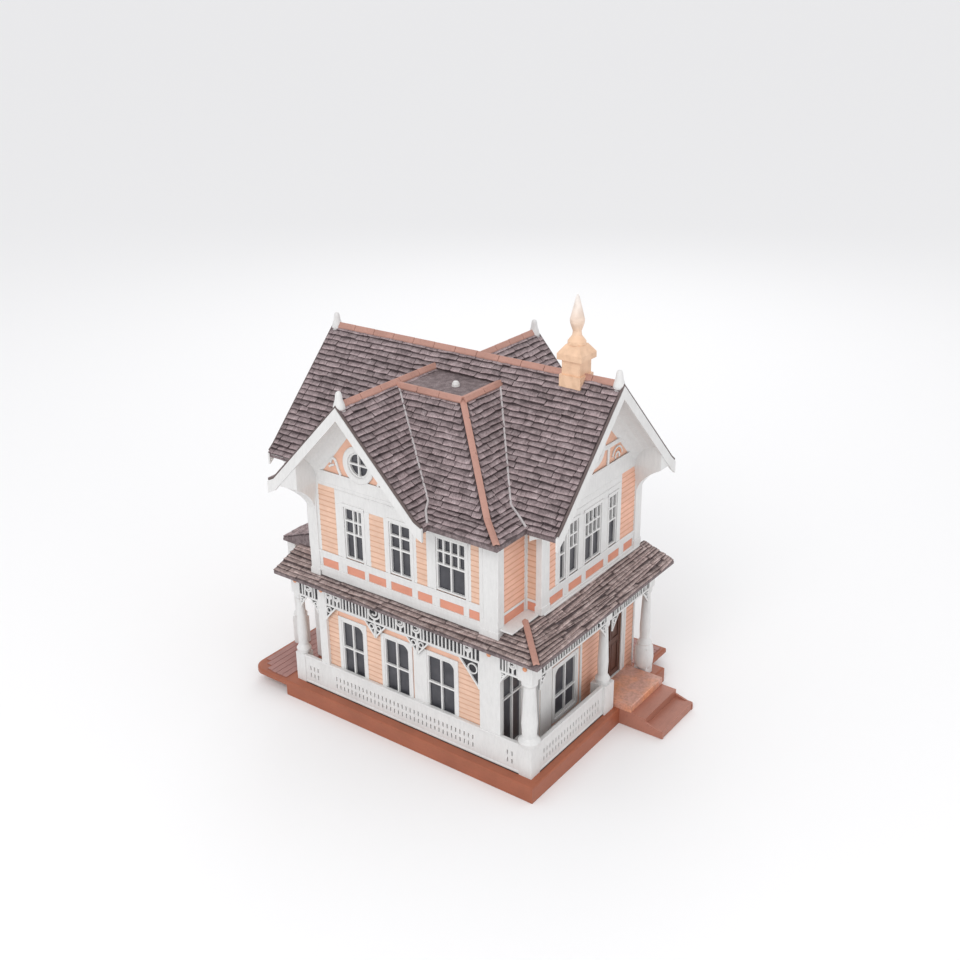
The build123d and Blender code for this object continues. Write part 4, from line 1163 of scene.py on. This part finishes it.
# Plain white boards: skirtings, corner boards and the boards above the windows.
groundBoards = {
    groundWest: ((-157, 198, 30, 60, 2), (-160, 201, 205, 255, 1.6), (-37, -14, 60, 205, 2.0)),
    wingSouth: (
        (-120, 80, 30, 50, 2), (-120, -86, 50, 255, 1.8), (-120, 192, 214, 255, 1.8),
        (154, 160, 44, 214, 2.2), (186, 192, 44, 214, 2.6), (66, 72, 44, 214, 2.0), (3, 9, 50, 214, 2),
    ),
    towerSouth: ((-127, -120, 44, 255, 2.2),),
    notchWest: ((-221, -213, 44, 255, 2.2),),
}
casings += [wallBox(wall, *board) for wall, rows in groundBoards.items() for board in rows]
boardSet("groundBoards", casings, bevel=0.7)
groundPanels = {
    "West": (groundWest, ((-157, -110, 60, 205), (58, 90, 60, 205), (156, 181, 60, 205))),
    "South": (wingSouth, ((9, 66, 50, 214), (160, 186, 44, 214))),
    "Tower": (towerSouth, ((-195, -189, 46, 214), (-130, -127, 46, 214))),
    "Notch": (notchWest, ((-213, -194, 46, 214),)),
}
for seed, (name, (wall, panels)) in enumerate(groundPanels.items(), 41):
    clapboardPanels("groundClapboards" + name, wall, panels, seed)

# The hidden sides: clapboards between corner boards, a belt between the storeys and window casings.
# Each is (name, wall, start, end, upper foot, window gap or None).
plainWalls = (
    ("rear", rearNorth, -120, 192, 298, (10, 62)),
    ("eastSouth", houseEast, -221, -77, 274, (-175, -123)),
    ("eastNorth", houseEast, 187, 289, 274, None),
    ("return", notchWest, 201, 289, 294, None),
    ("westEnd", westEndNorth, -195, -120, 294, None),
)
plainLook = {
    "corner": 12, "foot": 30, "skirt": 58, "ground": 246, "top": 446, "ledge": 455, "casing": 7,
    "windows": ((82, 189), (322, 418)),
}
boards = []
for seed, (name, wall, start, end, foot, gap) in enumerate(plainWalls, 51):
    inner = (start + plainLook["corner"], end - plainLook["corner"])
    base, skirt, ground, top, ledge = (plainLook[key] for key in ("foot", "skirt", "ground", "top", "ledge"))
    boards += [
        wallBox(wall, start, inner[0], base, ledge, 2.2), wallBox(wall, inner[1], end, base, ledge, 2.2),
        wallBox(wall, *inner, base, skirt, 1.8), wallBox(wall, *inner, ground, foot, 2.6),
        wallBox(wall, *inner, top, ledge, 1.8),
    ]
    panels = []
    for (low, high), (sill, head) in zip(((skirt, ground), (foot, top)), plainLook["windows"]):
        if gap is None:
            panels.append((*inner, low, high))
            continue
        casing = plainLook["casing"]
        clear = (gap[0] - casing, gap[1] + casing)
        panels += [
            (inner[0], clear[0], low, high), (clear[1], inner[1], low, high),
            (*clear, low, sill - casing), (*clear, head + casing, high),
        ]
        boards += windowCasing(wall, gap, sill, head)
    clapboardPanels(name + "Clapboards", wall, panels, seed)
boardSet("plainWallBoards", boards, bevel=0.7)

# A rounded fillet in one upper corner of each ground window.
filletLook = {"radius": 13, "steps": 7, "inset": 2.5, "back": -2, "deep": 3.2}
shape = bmesh.new()
for node, wall in groundWindows.items():
    corner, top = gapOf(node, wall)[0] + filletLook["inset"], levelsOf(node)[1] - filletLook["inset"]
    radius = filletLook["radius"]
    outline = [(corner, top)]
    for step in range(filletLook["steps"] + 1):
        angle = math.pi / 2 * step / filletLook["steps"]
        outline.append((corner + radius * (1 - math.sin(angle)), top - radius * (1 - math.cos(angle))))
    low = [wallPoint(wall, *point, filletLook["back"]) for point in outline]
    addPrism(shape, low, outwardOf(wall) * filletLook["deep"])
addShape("windowFillets", shape)
print("ground storey boards done")

# Porch friezes: rings and bars between two rails, over a dark board that stands in for the shade behind them.
# Cells are (kind, start, end).
fretLook = {
    "deep": 1.8, "bar": 2.7, "pitch": 7.6, "low": 212, "high": 255, "rail": 3.6, "edge": 1.4, "pin": 2,
    "band": 3.4, "curl": 0.4, "shadeBacking": (2, 2.0, 4.8),
}
westFrets = (
    ("ring", 178, 162), ("ring", 160, 144), ("bars", 142, 82), ("ring", 80, 52), ("bars", 50, 20),
    ("ring", 18, -2), ("bars", -4, -14), ("ring", -16, -36), ("bars", -38, -124), ("ring", -126, -142),
    ("bars", -144, -155),
)
westRuns = (
    (-157, 180, westFrets),
    (198, 241.5, (("bars", 239, 231), ("ring", 229, 211), ("bars", 209, 202))),
    (-234, -198, (("bars", -200, -212), ("ring", -214, -231))),
)
frontRuns = (
    (-177, 25.5, (("ring", -174, -156), ("bars", -154, -6), ("ring", -4, 20))),
    (46.5, 173.5, (
        ("bars", 50, 58), ("ring", 60, 78), ("bars", 80, 140), ("ring", 142, 160), ("bars", 162, 170),
    )),
)


def fretRun(shape, wall, start, end, cells):
    low, high, rail = fretLook["low"], fretLook["high"], fretLook["rail"]
    deep = -fretLook["deep"]
    addBox(shape, *wallBox(wall, start, end, low, low + rail, 0.4, deep))
    addBox(shape, *wallBox(wall, start, end, high - rail, high, 0.4, deep))
    inner, outer = low + rail, high - rail
    middle = (inner + outer) / 2
    tall = (outer - inner) / 2 + 0.5

    # An upright bar, or a short pin above or below a ring.
    def upright(along, half, foot=inner - 1, head=outer + 1):
        addBox(shape, *wallBox(wall, along - half, along + half, foot, head, 0, deep))

    for kind, first, last in cells:
        first, last = min(first, last), max(first, last)
        if kind == "bars":
            count = max(1, round((last - first) / fretLook["pitch"]))
            for bar in range(count):
                upright(first + (last - first) * (bar + 0.5) / count, fretLook["bar"] / 2)
            continue
        centre = (first + last) / 2
        radius = min(last - first, outer - inner) / 2
        for sign in (-1, 1):
            upright(centre + sign * (last - first) / 2, fretLook["edge"])
            upright(centre, fretLook["pin"], middle + sign * (radius - 1), middle + sign * tall)
        hole = radius - fretLook["band"]
        section = ((hole, deep), (hole, 0.6), (radius, 0.6), (radius, deep))
        addRing(shape, wall, centre, middle, section, 20)
        curl = arcPoints(centre, middle, radius * fretLook["curl"], 40, 320)
        addRibbon(shape, wall, curl, 2.6, 0.4, deep)


shadeBacking = []
for name, wall, runs, node in (
    ("westFretwork", trimWest, westRuns, "frieze_west"),
    ("frontFretwork", trimSouth, frontRuns, "frieze_front"),
):
    shape = bmesh.new()
    margin, front, back = fretLook["shadeBacking"]
    low, high = fretLook["low"] + margin, fretLook["high"] - margin
    for run in runs:
        fretRun(shape, wall, *run)
        # A dark board behind each run: painted shade seen through the fretwork.
        shadeBacking.append(wallBox(wall, *run[:2], low, high, -front, -back))
    addShape(name, shape, stands=(node,))
boardSet("fretworkShadowBacking", shadeBacking, shadowPaint, 0.2)

# Pierced brackets, each (wall, post, way, reach, fall): two straight edges and a ring, over a dark board that
# stands in for the shade behind them.
bracketLook = {"top": 213, "width": 2.8, "ring": 0.24, "band": 2, "board": (-2.2, -1.0)}
brackets = [(trimWest, -157, 1, 42, 50), (trimWest, 180, -1, 25, 30)]
brackets += [(trimWest, place, way, 24, 29) for place in (-28, 65) for way in (1, -1)]
frontPosts = ((-177, 1), (25.5, -1), (46.5, 1), (173.5, -1))
brackets += [(trimSouth, place, way, 20, 26) for place, way in frontPosts]
brackets += [(trimWest, -198, -1, 14, 20), (trimWest, 198, 1, 18, 24), (trimWest, 241.5, -1, 16, 24)]
shape, dark = bmesh.new(), bmesh.new()
for wall, place, way, reach, fall in brackets:
    top, width, deep = bracketLook["top"], bracketLook["width"], -fretLook["deep"]
    upright = [(place + way * 1.2, top), (place + way * 1.2, top - fall)]
    slope = [(place, top - fall + 1.5), (place + way * (reach - 1), top - 1)]
    addRibbon(shape, wall, upright, width, 0.3, deep)
    addRibbon(shape, wall, slope, width, 0.5, deep)
    radius = reach * bracketLook["ring"]
    hole = radius - bracketLook["band"]
    section = ((hole, deep), (hole, 0.4), (radius, 0.4), (radius, deep))
    addRing(shape, wall, place + way * reach * 0.33, top - fall * 0.3, section, 16)
    # Painted shade: a dark triangle board behind each bracket.
    back, thick = bracketLook["board"]
    outline = ((place, top), (place + way * reach, top), (place, top - fall))
    addPrism(dark, [wallPoint(wall, *point, back) for point in outline], outwardOf(wall) * thick)
addShape("pierced_brackets", shape, stands=("porch_brackets",))
addShape("bracketShadowBacking", dark, shadowPaint)

# Turned bosses on the posts, under the porch roof, each as (side, where the post's face is, along, height).
bossLook = {"radius": 4.2, "out": 2.4, "shares": (0, 0.3, 0.6, 0.85, 1), "least": 0.02, "sides": 16}
bosses = (
    ("west", -202, -176, 236), ("west", -202, 189, 238), ("west", -205.2, -248, 236),
    ("west", -202, 252, 238), ("south", -262, -191, 236), ("south", -262, -182, 238),
    ("south", -259, 36, 238), ("south", -260, 184, 238),
)
shape = bmesh.new()
for side, at, along, height in bosses:
    rings = []
    for share in bossLook["shares"]:
        size = bossLook["radius"] * math.sqrt(max(1 - share * share, bossLook["least"]))
        rings.append([
            wallPoint((side, at), along + size * c, height + size * s, bossLook["out"] * share)
            for c, s in circle(bossLook["sides"])
        ])
    addRings(shape, rings)
addShape("postBosses", shape, bossPaint)

# The right post stands on a bulging pedestal.
pedestal = {
    "sides": 16, "profile": ((13, 43.6), (16.5, 50), (18, 66), (17, 84), (13, 94), (9.5, 101), (9, 108)),
}
postLow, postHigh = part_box("right_corner_post")
shape = bmesh.new()
postCentre = ((postLow.x + postHigh.x) / 2 * metre, (postLow.y + postHigh.y) / 2 * metre, 0)
addTurned(shape, postCentre, pedestal["profile"], pedestal["sides"])
smoothSides(addShape("rightPedestal", shape))
print("porch woodwork done")

# Blunt hooded finials at the gable ends.
finials = {
    "sides": 20, "inset": 10.6,
    "profile": ((10.5, -8), (9.8, 0), (8.4, 5), (6.6, 10), (5.8, 15), (5.2, 20), (3.8, 23.5), (1.4, 25)),
}
inset = finials["inset"]
shape = bmesh.new()
for centre in (
    (ridgeX, boardLow.y * metre + inset, ridgeZ), (ridgeX, boardHigh.y * metre - inset, ridgeZ),
    (boardLow.x * metre + inset, frontY, frontZ), (boardHigh.x * metre - inset, backY, backZ),
):
    addTurned(shape, centre, finials["profile"], finials["sides"])
smoothSides(addShape("hoodedFinials", shape, stands=("gable_finials",)))

# Planks over the rear deck and the east strip beside the house.
deckLow, deckHigh = (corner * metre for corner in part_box("deck_slab"))
plankLook = {
    "width": 13, "gap": 0.9, "thick": 1.4, "start": 282, "margin": 7, "round": (34, 0.9),
    "east": (200, 12, -236, 280), "eastMargin": (10, 8),
}
planks = []
along, top = plankLook["start"], deckHigh.z
last = deckHigh.y - plankLook["margin"]
while along < last:
    end = min(along + plankLook["width"], last)
    inset = plankLook["margin"] + max(0, end - deckHigh.y + plankLook["round"][0]) * plankLook["round"][1]
    corner = (deckHigh.x - inset, end - plankLook["gap"], top + plankLook["thick"])
    planks.append(((deckLow.x + inset, along, top), corner))
    along += plankLook["width"]
boardSet("deckPlanks", planks, deckPaint, 0.4)
across, width, first, end = plankLook["east"]
planks = []
while across < deckHigh.x - plankLook["eastMargin"][0]:
    edge = min(across + width, deckHigh.x - plankLook["eastMargin"][1])
    planks.append(((across, first, top), (edge, end, top + plankLook["thick"])))
    across += plankLook["width"]
boardSet("deckPlanksEast", planks, deckPaint, 0.4)
railRuns = ((trimWest, -235.5, 241), (trimSouth, -178.5, 21))
rails = [wallBox(*run, *level) for level in ((84, 88.8, 1.6, -6), (31, 35, 1.4, -5)) for run in railRuns]
boardSet("handrails", rails, bevel=1.2)
# A dark strip under the lower rails: painted shadow where the rails meet the deck.
railShadows = [wallBox(trimWest, -235, 241, 30, 31, 1.9, -4), wallBox(trimSouth, -178, 21, 30, 31, 1.9, -4)]
boardSet("railShadowStrips", railShadows, shadowPaint, 0.2)

# Door mouldings ride on the door.
doorLow, doorHigh = (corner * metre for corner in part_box("front_door"))
doorLook = {"edge": 7, "middle": 2.5, "levels": ((54, 112), (122, 202)), "width": 2, "out": 0.7, "deep": 0.6}
doorMid = (doorLow.x + doorHigh.x) / 2
width = doorLook["width"]
mouldings = []
for left, right in (
    (doorLow.x + doorLook["edge"], doorMid - doorLook["middle"]),
    (doorMid + doorLook["middle"], doorHigh.x - doorLook["edge"]),
):
    for low, high in doorLook["levels"]:
        for x0, x1, z0, z1 in (
            (left, right, low, low + width), (left, right, high - width, high),
            (left, left + width, low, high), (right - width, right, low, high),
        ):
            mouldings.append(((x0, doorLow.y - doorLook["out"], z0), (x1, doorLow.y + doorLook["deep"], z1)))
boardSet("doorMouldings", mouldings, doorPaint, 0.3, "door")
print("deck and door done")

cameraLook = {
    "place": (-1.5463, -1.1588, 1.2629), "azimuth": math.radians(-53.475), "pitch": math.radians(23.461),
    "roll": math.radians(-0.705), "lens": 45.46, "sensor": 36, "nearest": 0.05,
}


def addCamera():
    azimuth, pitch, roll = cameraLook["azimuth"], cameraLook["pitch"], cameraLook["roll"]
    level = math.cos(pitch)
    back = Vector((math.sin(azimuth) * level, -math.cos(azimuth) * level, math.sin(pitch)))
    right = (-back).cross(Vector((0, 0, 1))).normalized()
    up = right.cross(-back)
    across = right * math.cos(roll) + up * math.sin(roll)
    upright = up * math.cos(roll) - right * math.sin(roll)
    data = bpy.data.cameras.new("studioCamera")
    data.lens = cameraLook["lens"]
    data.sensor_width = cameraLook["sensor"]
    data.clip_start = cameraLook["nearest"]
    camera = bpy.data.objects.new("studioCamera", data)
    turn = Matrix((across, upright, back)).transposed().to_4x4()
    camera.matrix_world = Matrix.Translation(cameraLook["place"]) @ turn
    bpy.context.scene.collection.objects.link(camera)
    bpy.context.scene.camera = camera


lightTarget = (0, 0, 0.35)


def addLight(name, place, size, power):
    data = bpy.data.lights.new(name, "AREA")
    data.shape = "DISK"
    data.size = size
    data.energy = power
    light = bpy.data.objects.new(name, data)
    light.location = place
    light.rotation_euler = (Vector(lightTarget) - Vector(place)).to_track_quat("-Z", "Y").to_euler()
    bpy.context.scene.collection.objects.link(light)


studioLook = {
    "floor": (0.94, 0.94, 0.94, 1), "size": 60, "drop": -0.0004, "sky": (0.985, 0.985, 1.0, 1),
    "strength": 0.88,
}


def addStage():
    material, tree = newMaterial("paleFloor", 0.9)
    tree.nodes["Principled BSDF"].inputs["Base Color"].default_value = studioLook["floor"]
    shape = bmesh.new()
    drop = Matrix.Translation((0, 0, studioLook["drop"]))
    bmesh.ops.create_grid(shape, x_segments=1, y_segments=1, size=studioLook["size"], matrix=drop)
    mesh = bpy.data.meshes.new("floor")
    shape.to_mesh(mesh)
    shape.free()
    mesh.materials.append(material)
    floor = bpy.data.objects.new("floor", mesh)
    bpy.context.scene.collection.objects.link(floor)
    world = bpy.data.worlds.new("softStudio")
    world.use_nodes = True
    sky = world.node_tree.nodes["Background"].inputs
    sky["Color"].default_value = studioLook["sky"]
    sky["Strength"].default_value = studioLook["strength"]
    bpy.context.scene.world = world


addCamera()
addStage()
addLight("keyLight", (-2.6, -0.6, 2.6), 1.6, 30)
addLight("fillLight", (-0.4, -3.0, 1.6), 2.2, 6)
addLight("rimLight", (2.4, 1.4, 2.2), 2.0, 12)
bpy.context.scene.view_settings.view_transform = "Standard"
